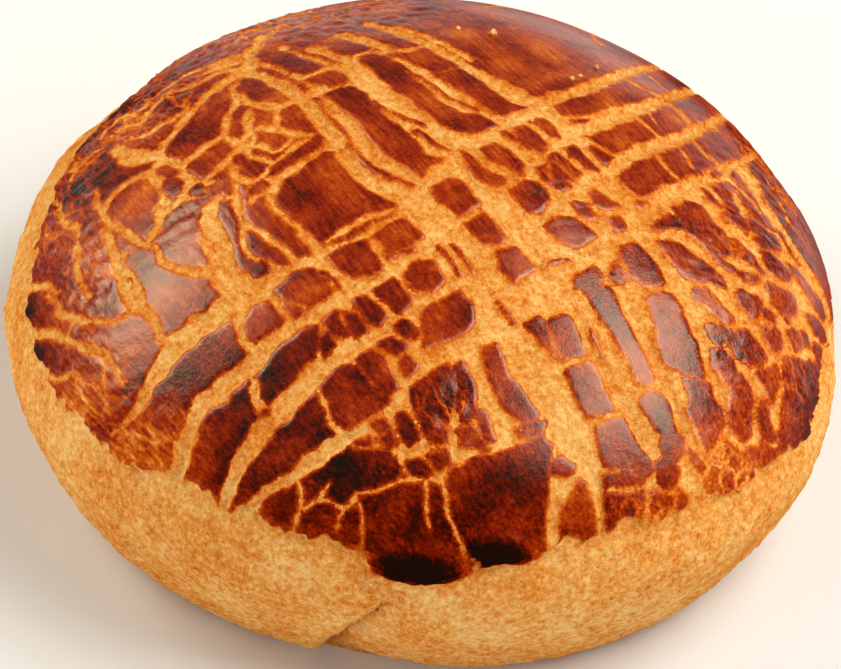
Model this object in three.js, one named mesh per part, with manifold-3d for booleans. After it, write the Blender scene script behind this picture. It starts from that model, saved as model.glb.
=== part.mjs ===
// A round baked bun with a glazed, cracked top that two strokes of a four-tined fork cross.
// Millimetres, +Z up, flat base on Z = 0, the bun's middle on the Z axis.
//
// Places on the bun's skin are given as skin points (u, v): the distance run along the skin from
// the top of the dome, laid out flat. +u is to the right (+X), +v is to the back (+Y).

import * as THREE from 'three';
import { mergeVertices } from 'three/addons/utils/BufferGeometryUtils.js';
import Module from 'manifold-3d';

// Body: a domed top over a belly that tucks in to a flat base
const BUN_RADIUS = 47.5;
const BELLY_HEIGHT = 16;
const DOME_RISE = 27;
const DOME_POWER = 1.9;
const TUCK_DEPTH = 40;
const TUCK_POWER = 1.6;
const HEEL_ROUND = 1.5;

// Plan outline: how far it is from a circle, as shares of the radius
const OVAL_SHARE = 0.027;
const OVAL_TURN = 2.27;
const THREE_SIDED_SHARE = -0.018;
const THREE_SIDED_TURN = 0.34;

// Mesh fineness
const SEGMENTS = 66;
const COAT_RINGS = 14;
const SIDE_RINGS = 7;
const PROFILE_SAMPLES = 600;

// Glazed coat: its thickness, and how far from the top it ends at each turn of the compass (degrees)
const COAT_THICKNESS = 0.4;
const COAT_LIP = 0.5;
const COAT_EDGE = [
  [-180, 48.8], [-165, 51.2], [-150, 51.6], [-138, 52], [-127, 50.3], [-117, 50.8], [-107, 52.3],
  [-90, 53.2], [-75, 52], [-64, 51.2], [-54, 52], [-40, 52.4], [-29, 54.5], [-16, 52.3], [0, 55],
  [20, 53.5], [45, 51.5], [75, 50], [105, 48.5], [130, 46.5], [150, 44.8], [166, 46.4],
];

// Two burnt runs of glaze that swell over the coat's front edge: middle, half length, half width, height
const BURNT_RUNS = [
  { middle: [-1.2, -52.6], halfLength: 6.2, halfWidth: 2.3, height: 0.9 },
  { middle: [9.6, -50.2], halfLength: 4.8, halfWidth: 1.9, height: 0.7 },
];
const BURNT_RUN_SIDES = 14;

// Fold low on the front: the skin to its right sinks in under the lobe to its left
const FOLD_LINE = [[1, -57.5], [-9, -64.5], [-21, -72.5]];
const FOLD_SINK = 1.5;
const FOLD_REACH = 7;
const FOLD_WIDTH = 1.3;

// Slow unevenness of the whole skin
const SWELL_HEIGHT = 0.25;
const SWELL_LENGTH = 31;

// Fork strokes: each tine's groove width and the skin points that its path runs through
const TINE_DEPTH = 0.7;
const FIRST_STROKE = [
  { width: 2.4, path: [[-20, 22], [-16, 13], [-11.6, 4], [-8.2, -3], [-2, -9.3], [3.3, -14.8], [8, -23], [17, -38.5],
    [21, -45]] },
  { width: 2, path: [[-16, 22.5], [-10.3, 17], [0, 3.5], [4, -4], [9, -11.5], [14.5, -20], [23.2, -33.8], [25.3, -37]] },
  { width: 1.8, path: [[-9, 23.5], [2, 11.5], [8, 5.2], [11.5, -2], [16, -10.8], [26, -27], [30, -34.5]] },
  { width: 2, path: [[-6, 26.5], [4, 15.3], [10, 10.5], [15.5, 6], [19.2, 0], [23.8, -10], [31.5, -24.5], [34.3, -30]] },
];
const SECOND_STROKE = [
  { width: 2.2, path: [[-33, -29], [-28, -24.4], [-12, -16.6], [-1, -9.8], [3.6, -4.2], [14, 8.8], [19, 13.3],
    [23.5, 19.6], [27.5, 27], [32, 37]] },
  { width: 2.1, path: [[-29, -36.5], [-23.5, -31.5], [-8.5, -22.7], [-2, -18], [8.8, -6.8], [14.5, -0.6], [26, 12.4],
    [30.3, 19], [37, 35]] },
  { width: 2, path: [[-22.3, -41], [-16, -35.2], [-2.5, -25.9], [4.8, -19.5], [15.6, -7], [28.4, 6.3], [36, 17.3],
    [40.5, 29]] },
  { width: 2, path: [[-20, -45], [-11, -40.5], [-4.5, -36.3], [6.8, -24.5], [17.5, -14.2], [27.6, -3.9], [38.6, 9.3],
    [44, 20]] },
];

// Widest cracks, where the coat tore as the dough rose
const CRACK_DEPTH = 0.45;
const CRACKS = [
  { width: 1.3, path: [[-20.8, 19.5], [-26.8, 12], [-30, 5]] },
  { width: 1.2, path: [[-36, 11], [-31, 5], [-20.5, -3.8], [-11, -0.5]] },
  { width: 2.2, path: [[-22.8, -4.5], [-23.8, -11], [-22, -20]] },
  { width: 1.1, path: [[-35.7, -7.5], [-32.8, -16.5], [-30.4, -24]] },
  { width: 1.1, path: [[-37.6, 0], [-35, -6.5], [-29, -14], [-23.3, -17.4]] },
  { width: 1, path: [[-49, -12.8], [-42, -18.5], [-37, -23.5]] },
  { width: 1.1, path: [[-21.2, -23.3], [-20, -28]] },
  { width: 1, path: [[-13, -47.3], [-4, -44.5], [2, -43.3], [14, -36.6]] },
  { width: 1.5, path: [[14.5, -38], [14.9, -44], [15.5, -50.5]] },
  { width: 1.3, path: [[5.5, -28.5], [8.8, -37.5]] },
  { width: 1.3, path: [[30, -8.8], [36.5, -12.2], [43, -9.7]] },
  { width: 1.2, path: [[33, -3.5], [38.5, -5], [46, -4]] },
  { width: 1.1, path: [[30.5, -15.2], [35, -16.2], [42, -16]] },
  { width: 1.1, path: [[32.5, -22], [38, -25], [38.2, -32]] },
];

// Cutter make-up
const CUTTER_SIDES = 8;
const CUTTER_STEP = 4;
const CUTTER_RUN_OUT = 2.5;
const CUTTER_LIFT = 0.4;

const CRUST_COLOUR = 0xa8541c;

const profile = sampleProfile();
const skinLength = profile.at(-1).arc;
const foldStart = new THREE.Vector2(...FOLD_LINE[0]);
const foldEnd = new THREE.Vector2(...FOLD_LINE.at(-1));
const wasm = await Module();
wasm.setup();

// Radius and height of the mean side curve, with the arc length from the top of the dome.
function sampleProfile() {
  const samples = [];
  for (let i = 0; i <= PROFILE_SAMPLES; i += 1) {
    const cosine = Math.cos((Math.PI / 2) * (i / PROFILE_SAMPLES));
    const radius = BUN_RADIUS * (1 - cosine ** DOME_POWER) ** (1 / DOME_POWER);
    samples.push({ radius, height: BELLY_HEIGHT + DOME_RISE * cosine });
  }
  for (let i = 1; i <= PROFILE_SAMPLES; i += 1) {
    const drop = BELLY_HEIGHT * (i / PROFILE_SAMPLES);
    const height = BELLY_HEIGHT - drop;
    const tuck = BUN_RADIUS * (1 - (drop / TUCK_DEPTH) ** TUCK_POWER) ** (1 / TUCK_POWER);
    const intoHeel = Math.max(1 - height / HEEL_ROUND, 0);
    const heel = HEEL_ROUND * (1 - Math.sqrt(1 - intoHeel ** 2));
    samples.push({ radius: tuck - heel, height });
  }
  let arc = 0;
  samples.forEach((sample, i) => {
    const before = samples[Math.max(i - 1, 0)];
    arc += Math.hypot(sample.radius - before.radius, sample.height - before.height);
    sample.arc = arc;
  });
  return samples;
}

function profileAt(arc) {
  const wanted = THREE.MathUtils.clamp(arc, 0, skinLength);
  let low = 0;
  let high = profile.length - 1;
  while (high - low > 1) {
    const middle = (low + high) >> 1;
    if (profile[middle].arc <= wanted) low = middle;
    else high = middle;
  }
  const share = (wanted - profile[low].arc) / (profile[high].arc - profile[low].arc);
  return {
    radius: THREE.MathUtils.lerp(profile[low].radius, profile[high].radius, share),
    height: THREE.MathUtils.lerp(profile[low].height, profile[high].height, share),
  };
}

function planShare(turn) {
  const oval = OVAL_SHARE * Math.cos(2 * (turn - OVAL_TURN));
  const threeSided = THREE_SIDED_SHARE * Math.cos(3 * (turn - THREE_SIDED_TURN));
  return 1 + oval + threeSided;
}

// Arc length at which the coat ends, at a turn in radians: smooth between the stated points.
function coatEdge(turn) {
  const degrees = THREE.MathUtils.euclideanModulo(THREE.MathUtils.radToDeg(turn) + 180, 360) - 180;
  const count = COAT_EDGE.length;
  let i = 0;
  while (i < count - 1 && COAT_EDGE[i + 1][0] <= degrees) i += 1;
  const [from, fromArc] = COAT_EDGE[i];
  const [to, toArc] = i < count - 1 ? COAT_EDGE[i + 1] : [180, COAT_EDGE[0][1]];
  const share = THREE.MathUtils.smoothstep(degrees, from, to);
  return THREE.MathUtils.lerp(fromArc, toArc, share);
}

// Bare skin, before coat and folds.
function bareSkin(u, v) {
  const turn = Math.atan2(v, u);
  const { radius, height } = profileAt(Math.hypot(u, v));
  const reach = radius * planShare(turn);
  return new THREE.Vector3(reach * Math.cos(turn), reach * Math.sin(turn), height);
}

function skinNormal(u, v) {
  const step = 0.4;
  const alongU = bareSkin(u + step, v).sub(bareSkin(u - step, v));
  const alongV = bareSkin(u, v + step).sub(bareSkin(u, v - step));
  return alongU.cross(alongV).normalize();
}

// How far the skin sinks beside the fold: deepest at the line's right, nothing to its left.
function foldSink(u, v) {
  const along = foldEnd.clone().sub(foldStart);
  const offset = new THREE.Vector2(u, v).sub(foldStart);
  const share = offset.dot(along) / along.lengthSq();
  const side = along.cross(offset) / along.length();
  if (side < 0) return 0;
  const depth = FOLD_SINK * THREE.MathUtils.smoothstep(share, 0, 0.6);
  return depth * Math.exp(-side / FOLD_REACH);
}

function swell(u, v) {
  const turnU = (2 * Math.PI * u) / SWELL_LENGTH;
  const turnV = (2 * Math.PI * v) / SWELL_LENGTH;
  return SWELL_HEIGHT * Math.sin(turnU + 0.7 * Math.sin(turnV)) * Math.cos(0.8 * turnV + 1.3);
}

// Skin with its unevenness, its fold and, where lift is given, a layer over it.
function skin(u, v, lift = 0) {
  const arc = Math.hypot(u, v);
  const fade = 1 - THREE.MathUtils.smoothstep(arc, skinLength - 12, skinLength);
  const rise = swell(u, v) * fade - foldSink(u, v) + lift;
  const normal = skinNormal(u, v);
  const point = bareSkin(u, v).addScaledVector(normal, rise);
  point.z = Math.max(point.z, 0);
  return point;
}

// The body is turned from the mean side curve, then every ring is drawn to the bun's own skin.
// One ring follows the coat's edge and the next lies just outside it, so that the coat ends in a step.
function bunBody() {
  const points = [];
  const rings = COAT_RINGS + 1 + SIDE_RINGS;
  for (let ring = 0; ring <= rings; ring += 1) {
    const { radius, height } = profileAt((skinLength * ring) / rings);
    points.push(new THREE.Vector2(ring === 0 ? 0 : radius, height));
  }
  points.push(new THREE.Vector2(0, 0));
  const geometry = new THREE.LatheGeometry(points, SEGMENTS);
  const place = geometry.attributes.position;
  for (let i = 0; i < place.count; i += 1) {
    const ring = i % points.length;
    const segment = Math.floor(i / points.length) % SEGMENTS;
    const point = ring > rings ? new THREE.Vector3() : ringPoint(ring, (2 * Math.PI * segment) / SEGMENTS);
    place.setXYZ(i, point.x, point.y, point.z);
  }
  return solid(geometry);
}

function ringPoint(ring, turn) {
  const edge = coatEdge(turn);
  let arc = (edge * ring) / COAT_RINGS;
  let lift = COAT_THICKNESS;
  if (ring > COAT_RINGS) {
    const share = (ring - COAT_RINGS - 1) / SIDE_RINGS;
    arc = THREE.MathUtils.lerp(edge + COAT_LIP, skinLength, share);
    lift = 0;
  }
  const point = skin(arc * Math.cos(turn), arc * Math.sin(turn), lift);
  if (ring === COAT_RINGS + 1 + SIDE_RINGS) point.z = 0;
  return point;
}

// A round cutter of the radius that gives the width at that depth. It lifts clear of the skin at both ends.
function cutter({ width, path }, depth) {
  const radius = (width ** 2 / 4 + depth ** 2) / (2 * depth);
  const line = new THREE.SplineCurve(path.map(([u, v]) => new THREE.Vector2(u, v)));
  const steps = Math.ceil(line.getLength() / CUTTER_STEP);
  const places = line.getSpacedPoints(steps);
  const ride = ({ x, y }, drop) => skin(x, y, COAT_THICKNESS + radius - drop);
  const runOut = (end, next) => end.clone().sub(next).setLength(CUTTER_RUN_OUT).add(end);
  const curve = new THREE.CatmullRomCurve3([
    ride(runOut(places[0], places[1]), -CUTTER_LIFT),
    ...places.map((place) => ride(place, depth)),
    ride(runOut(places.at(-1), places.at(-2)), -CUTTER_LIFT),
  ]);
  const circle = new THREE.Shape();
  circle.absarc(0, 0, radius, 0, 2 * Math.PI, false);
  const geometry = new THREE.ExtrudeGeometry(circle, {
    steps: steps + 2,
    curveSegments: CUTTER_SIDES / 2,
    bevelEnabled: false,
    extrudePath: curve,
  });
  return solid(geometry);
}

// A burnt run is a flattened bead that lies on the skin along the coat's edge.
function burntRun({ middle, halfLength, halfWidth, height }) {
  const [u, v] = middle;
  const geometry = new THREE.SphereGeometry(1, BURNT_RUN_SIDES, BURNT_RUN_SIDES / 2);
  const place = geometry.attributes.position;
  for (let i = 0; i < place.count; i += 1) {
    const along = place.getX(i) * halfLength;
    const across = place.getZ(i) * halfWidth;
    const point = skin(u + along, v + across, COAT_THICKNESS / 2 + place.getY(i) * height);
    place.setXYZ(i, point.x, point.y, point.z);
  }
  return solid(geometry);
}

// Closed solid from a geometry, with its faces turned outwards.
function solid(geometry) {
  geometry.deleteAttribute('normal');
  geometry.deleteAttribute('uv');
  const welded = mergeVertices(geometry, 1e-4);
  const vertProperties = new Float32Array(welded.attributes.position.array);
  const triVerts = closedTriangles(welded.index.array);
  if (signedVolume(vertProperties, triVerts) < 0) triVerts.reverse();
  const mesh = new wasm.Mesh({ numProp: 3, vertProperties, triVerts });
  return new wasm.Manifold(mesh);
}

// Triangles that have three different corners.
function closedTriangles(index) {
  const kept = [];
  for (let i = 0; i < index.length; i += 3) {
    const [a, b, c] = index.slice(i, i + 3);
    if (a !== b && b !== c && c !== a) kept.push(a, b, c);
  }
  return new Uint32Array(kept);
}

function signedVolume(vertices, triangles) {
  const corner = (i) => new THREE.Vector3().fromArray(vertices, 3 * triangles[i]);
  let volume = 0;
  for (let i = 0; i < triangles.length; i += 3) {
    volume += corner(i).dot(corner(i + 1).cross(corner(i + 2))) / 6;
  }
  return volume;
}

function buildBun() {
  let bun = bunBody();
  for (const run of BURNT_RUNS) bun = bun.add(burntRun(run));
  for (const tine of [...FIRST_STROKE, ...SECOND_STROKE]) bun = bun.subtract(cutter(tine, TINE_DEPTH));
  for (const crack of CRACKS) bun = bun.subtract(cutter(crack, CRACK_DEPTH));
  bun = bun.subtract(cutter({ width: FOLD_WIDTH, path: FOLD_LINE }, CRACK_DEPTH));
  const { vertProperties, triVerts } = bun.getMesh();
  const geometry = new THREE.BufferGeometry();
  geometry.setAttribute('position', new THREE.BufferAttribute(new Float32Array(vertProperties), 3));
  geometry.setIndex(new THREE.BufferAttribute(new Uint32Array(triVerts), 1));
  geometry.computeBoundingBox();
  const { min, max } = geometry.boundingBox;
  geometry.translate(-(min.x + max.x) / 2, -(min.y + max.y) / 2, -min.z);
  geometry.computeVertexNormals();
  return geometry;
}

const crust = new THREE.MeshStandardMaterial({ color: CRUST_COLOUR, roughness: 0.45, metalness: 0 });
const bun = new THREE.Mesh(buildBun(), crust);
bun.name = 'bun';

const part = new THREE.Group();
part.add(bun);

export default part;
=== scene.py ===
"""Dresses the pogaca: a round bread bun with a cracked, fork-scored glaze over bare golden dough.

Sizes in the classes are millimetres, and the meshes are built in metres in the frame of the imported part.
A place on the bun's skin is a skin point (u, v): the distance run along the skin from the top of the
dome, laid out flat, with +u to the right and +v to the back.
"""

import logging
import math
from dataclasses import dataclass
from enum import Enum

import bpy
import numpy as np
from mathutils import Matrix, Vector


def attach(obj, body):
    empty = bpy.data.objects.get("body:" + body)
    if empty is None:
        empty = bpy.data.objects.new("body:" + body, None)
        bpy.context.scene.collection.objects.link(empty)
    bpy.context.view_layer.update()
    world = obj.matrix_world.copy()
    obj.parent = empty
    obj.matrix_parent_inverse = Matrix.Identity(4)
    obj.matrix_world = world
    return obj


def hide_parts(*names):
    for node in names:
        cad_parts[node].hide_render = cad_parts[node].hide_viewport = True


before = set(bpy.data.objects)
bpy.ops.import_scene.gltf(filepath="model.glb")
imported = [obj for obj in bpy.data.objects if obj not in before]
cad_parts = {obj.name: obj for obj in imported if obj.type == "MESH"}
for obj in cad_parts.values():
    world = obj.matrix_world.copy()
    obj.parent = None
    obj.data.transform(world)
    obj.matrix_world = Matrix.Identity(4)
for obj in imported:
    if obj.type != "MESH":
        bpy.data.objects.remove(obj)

log = logging.getLogger("pogaca")

MM = 0.001

# Distance that counts as none
TINY = 1e-6

# Direction of the streaks in the glaze, in degrees
STREAK_TURN = -58.0

Array = np.ndarray
Pair = tuple[float, float]
Points = tuple[tuple[float, ...], ...]
Stops = tuple[tuple[float, tuple[int, int, int]], ...]
Socket = bpy.types.NodeSocket

# Tines of the fork: skin points along each bare line, as (u, v, width)
FIRST_STROKE: tuple[Points, ...] = (
    ((-18.5, 27, 1.4), (-20, 21.5, 1.6), (-18.7, 17, 1.6), (-15.8, 12.5, 1.9), (-13.3, 8, 2.2),
     (-11.6, 4, 2.3), (-10.2, 0.5, 2.6), (-8.2, -3, 2.6), (-5.5, -6.3, 2.8), (-2, -9.3, 2.6),
     (1, -11.8, 2.4), (3.3, -14.8, 2.2), (6, -18, 3.2), (8, -24, 3.2), (9.7, -26.5, 2.8), (12.2, -31, 2.8),
     (14.3, -34.5, 3.2), (17, -38.5, 3), (20, -41.5, 1.8), (21, -44, 1.4), (21.8, -47, 1.2)),
    ((-18, 18.5, 0.8), (-15, 14.5, 0.9), (-12, 11, 1), (-9.8, 7, 1.3), (-7.6, 2.5, 1.8), (-5.6, -1.5, 2),
     (-3, -4.8, 2), (0, -7, 1.6)),
    ((-16, 22, 0.8), (-14, 20, 0.8), (-12, 17.5, 0.8), (-10, 15, 0.8), (-8.5, 13, 0.8), (-6.8, 11, 0.8)),
    ((-12.5, 20.5, 0.9), (-10.5, 18, 1.1), (-8.5, 15.8, 1.4), (-6.8, 13, 1.6), (-5, 10, 1.7),
     (-2.8, 6.5, 2.1), (-0.5, 3.5, 2.2), (1.5, 1, 2), (3, -1.5, 1.8), (4, -4, 1.6), (5.5, -6.5, 1.6),
     (7, -9, 2.2), (9, -11.5, 2.4), (11, -14, 2.4), (12.8, -17, 2.6), (14.5, -20, 2.4), (16.5, -23, 2),
     (18.8, -26.8, 2), (21, -30.5, 2), (23.2, -33.8, 2), (25.3, -37, 1)),
    ((5.5, -2.5, 0.9), (7, -5, 0.9), (9, -7.5, 0.9)),
    ((-9, 23.5, 1), (-6, 20.3, 1.1), (-3.5, 17.5, 1.2), (-1, 14.8, 1.3), (2, 11.5, 1.5), (5, 8.3, 1.6),
     (8, 5.2, 1.6), (9, 2.5, 1.6), (10, 0, 1.7), (11.5, -2, 1.7), (12.8, -4.5, 1.6), (14, -7.5, 1.8),
     (16, -10.8, 1.8), (19, -15, 2.2), (21, -18.5, 1.9), (23.5, -22.5, 1.9), (26, -27, 1.9),
     (28, -30.5, 1.8), (29.8, -34, 1.4), (30.5, -37, 0.8)),
    ((-4.5, 15.3, 0.6), (-2, 12.9, 0.6), (1, 10, 0.6), (4, 8, 0.6), (5.5, 6.5, 0.6)),
    ((-6, 26.5, 1), (-3.5, 23.7, 1), (-1, 21, 1.1), (1.5, 18.3, 1.3), (4, 15.3, 1.7), (7, 12.7, 2),
     (10, 10.5, 2.2), (13, 8.5, 2.2), (15.5, 6, 1.8), (17.3, 3.2, 1.8), (19.2, 0, 1.6), (20.6, -3, 2.4),
     (22, -6.5, 2.6), (23.8, -10, 2.6), (25.8, -13.5, 1.8), (27.7, -17, 2), (29.6, -20.7, 2),
     (31.5, -24.5, 2), (33, -27.3, 1.7), (34.3, -30, 1.2), (34.6, -33, 0.8)),
    ((-2.8, 24.5, 0.6), (0, 22, 0.6), (3, 19, 0.6), (5.5, 16.5, 0.6)),
)
SECOND_STROKE: tuple[Points, ...] = (
    ((-34, -30.5, 0.8), (-31.5, -27.3, 2.2), (-28, -24.4, 2.8), (-24, -22.2, 2.8), (-20, -19.9, 2.6),
     (-16, -18, 2), (-12, -16.6, 1.6), (-9, -15.2, 1.2), (-6, -13.6, 1.1), (-3.5, -11.9, 1.2),
     (-1, -9.8, 1.8), (1.5, -6.2, 1.3), (3.6, -4.2, 1.3), (5.4, -1.3, 1.5), (7.3, 1, 1.5), (9.3, 3.4, 1.4),
     (11.5, 5.8, 1.3), (14, 8.8, 1.7), (16.5, 10.9, 1.6), (19, 13.3, 1.7), (21.5, 16.4, 1.6),
     (23.5, 19.6, 1.4), (25.5, 23.2, 1.2), (27.5, 27, 1), (29.5, 31, 0.9), (32, 37, 0.8)),
    ((-10.5, -14.8, 0.6), (-7, -12.8, 0.6), (-4.8, -11.2, 0.6)),
    ((-30.6, -40.6, 1.2), (-29.2, -37.6, 1.7), (-26.8, -33.4, 2.1), (-23.5, -31.5, 2.5), (-20, -29.5, 2.3),
     (-16.3, -27.3, 1.8), (-12.5, -25, 2), (-8.5, -22.7, 1.9), (-5, -20.4, 1.7), (-2, -18, 1.6),
     (0.3, -15.7, 1.8), (2.5, -13, 2), (4.6, -11.7, 1.6), (6.8, -9.5, 1.7), (8.8, -6.8, 1.6),
     (10.8, -4.9, 1.5), (12.6, -3, 1.5), (14.5, -0.6, 1.6), (16.3, 2, 1.7), (18.5, 4.3, 1.7),
     (21, 6.6, 1.6), (23.5, 9.3, 1.6), (26, 12.4, 1.7), (28.3, 15.7, 1.5), (30.3, 19, 1.4), (32, 22.3, 1.3),
     (33.6, 26, 1.1), (35.2, 30, 1), (37, 35, 0.9)),
    ((-25, -45, 1.2), (-22.3, -41, 1.7), (-19.5, -38, 2.3), (-16, -35.2, 2.4), (-12.5, -32.6, 2.2),
     (-9, -30, 2.2), (-5.5, -28, 1.7), (-2.5, -25.9, 1.6), (-0.2, -23.6, 1.6), (2.3, -21.4, 1.4),
     (4.8, -19.5, 1.5), (6.9, -16.8, 1.7), (9, -14.6, 1.7), (11.3, -12.2, 1.6), (13.5, -9.6, 1.5),
     (15.6, -7, 1.3), (17.8, -4.9, 1.4), (20, -3, 1.7), (22, -0.6, 1.6), (24, 1.8, 1.4), (26.2, 3.9, 1.6),
     (28.4, 6.3, 1.7), (30.5, 8.6, 1.6), (32.5, 11.3, 1.4), (34.3, 14.2, 1.3), (36, 17.3, 1.1),
     (37.5, 20.5, 1), (39, 24.5, 0.9), (40.5, 29, 0.8)),
    ((-21.5, -45.7, 0.9), (-18, -44, 0.9), (-14.5, -42.4, 1.2), (-11, -40.5, 1.6), (-7.5, -38.3, 1.6),
     (-4.5, -36.3, 1.6), (-2.6, -33.8, 1.6), (-0.5, -31.3, 1.7), (2, -29.4, 1.8), (4.6, -27.6, 1.8),
     (6.8, -24.5, 2), (9, -21.3, 2.2), (11.8, -18.9, 2.2), (14.7, -16.3, 3.2), (17.5, -14.2, 2.2),
     (20.3, -11.8, 2.2), (23, -9.2, 2.4), (25.3, -6.6, 2.6), (27.6, -3.9, 2.2), (30, -1.4, 2),
     (32.3, 0.9, 1.6), (34.5, 3.6, 1.2), (36.5, 6.5, 1.2), (38.6, 9.3, 1.2), (40.5, 12.5, 1),
     (42.3, 16, 0.8), (44, 20, 0.6)),
)

# Slivers of glaze left inside the bare lines: width, then skin points
SLIVERS: tuple[tuple[float, Points], ...] = (
    (0.6, ((-18.6, 18), (-17.2, 16.4), (-15.6, 14.4), (-14.2, 12.4), (-13, 10.2))),
    (0.5, ((-12, 8.3), (-11.2, 7.2), (-10.6, 5.6), (-9.6, 3.6), (-8.9, 1.9), (-8.1, 0.6))),
    (0.5, ((-8, -0.4), (-7.2, -2), (-6, -3.8), (-4.4, -5.4), (-2.4, -6.8), (-0.8, -7.5))),
    (0.5, ((-15, 21.4), (-13, 19.6), (-11, 17.2), (-9.4, 15.2))),
    (0.6, ((-3.9, 15.9), (-2, 13.5), (0, 11.2), (1.6, 9.4), (4, 7.4), (6.4, 5.9))),
    (0.5, ((-5.4, 6.8), (-4, 5.3), (-2, 3.8), (0, 2.5))),
    (0.6, ((-0.5, 1.3), (1.2, -0.5), (2.6, -1.8))),
    (0.5, ((1.6, -16), (2.8, -17.6), (4.1, -19.8))),
    (0.4, ((3.4, -15.8), (4.6, -17.4), (5.6, -19))),
    (0.5, ((9.6, 2), (10.8, 0.6), (12, -0.7))),
    (0.5, ((13.2, -16.9), (15.6, -15.9))),
    (0.4, ((8.2, -22.6), (9.8, -24.6))),
    (0.4, ((18, -24.5), (19.6, -27.4))),
    (0.5, ((-19.9, -4.6), (-19.8, -6.4), (-19.5, -8.6))),
    (0.5, ((-3.8, -17.9), (-2.2, -17.2), (-0.8, -16.5))),
    (0.4, ((-11.2, -19), (-10.2, -20.4), (-9.3, -21.7))),
)

# Outlines of the areas that lost most of their glaze, as skin points
LOST: tuple[Points, ...] = (
    # right
    ((26, -9.5), (27.5, -6), (29.5, -2.8), (32, 0), (34.5, 3), (36.8, 6.4), (38.5, 9), (40.4, 12.5),
     (41.2, 10.6), (42, 8.8), (42.2, 7), (41.8, 5.4), (41.4, 3.8), (42.6, 3.6), (43.4, 2.6), (44.2, 1.6),
     (45.2, 0.4), (46.4, -1), (48.4, -2), (51, -3), (53, -6), (52.6, -10), (50.6, -14), (47.5, -17.2),
     (45.4, -18.4), (43, -18.8), (41.9, -19.5), (41.8, -22), (42, -25), (42.2, -28.6), (42.6, -30.6),
     (40.4, -31), (38.8, -31.8), (37, -32.8), (35.4, -33.4), (33.8, -35.8), (32.6, -37.6), (30.4, -37.5),
     (29.8, -34), (29, -31.4), (30.6, -28.8), (32, -26.2), (31, -23.8), (29.6, -21), (28.6, -18.5),
     (27.6, -16.5), (26, -13)),
    # left shoulder
    ((-36, 11.4), (-34.8, 9.8), (-33.2, 7.8), (-31, 6.2), (-29.6, 5), (-30.4, 3.9), (-32, 4.4), (-33.8, 4.9),
     (-35, 5.9), (-35.8, 7.8), (-36.6, 9.6)),
    # middle
    ((-20.4, 20.2), (-22.4, 17.6), (-24.3, 15.5), (-26.8, 12), (-28.4, 9), (-29.8, 6), (-30.8, 3.4),
     (-30.6, 1.2), (-29.4, -1), (-29.3, -3.6), (-27, -4.4), (-24.6, -5), (-24.2, -8), (-24, -11),
     (-23.4, -13), (-22.6, -17), (-21.6, -20.4), (-21.2, -23.4), (-20.6, -26.4), (-19.7, -28.6),
     (-19.4, -31.2), (-18.9, -35), (-16, -35.2), (-12.6, -33), (-11.5, -34.8), (-10.7, -37), (-9.6, -39.4),
     (-8, -40.4), (-5, -40.5), (-2.7, -40.8), (-2.4, -43), (0.4, -44.2), (2, -44), (3.4, -42), (5.6, -41),
     (8.6, -39.8), (11, -38.6), (13.5, -37), (14.8, -38.2), (14.5, -41), (14.9, -44), (15.6, -46),
     (16.6, -43.4), (17.8, -41.2), (19.6, -42), (20.6, -44), (21.6, -48), (24, -49), (31, -45), (33.5, -40),
     (31, -36), (29, -31.4), (31, -28.4), (31.8, -25.4), (29.6, -21), (27.6, -16.5), (26, -12.5), (26, -9.5),
     (25.6, -7), (24, -5), (21.4, -3.4), (21.6, -1.4), (22.3, 0.2), (21.6, 1.8), (19.6, 2.2), (18.4, 3.6),
     (16.4, 6.2), (14.8, 7.8), (13.6, 9.4), (12.4, 8.9), (10, 10.4), (7, 12.7), (4.2, 15.2), (1.6, 18.2),
     (0.2, 18.5), (-1.6, 17.8), (-3.6, 17.7), (-5.6, 17.8), (-7.2, 16.6), (-8.6, 15.8), (-10.2, 14.5),
     (-12.2, 13.4), (-13.8, 12.6), (-15.4, 13), (-17.6, 16), (-19.2, 18.2)),
)

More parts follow.
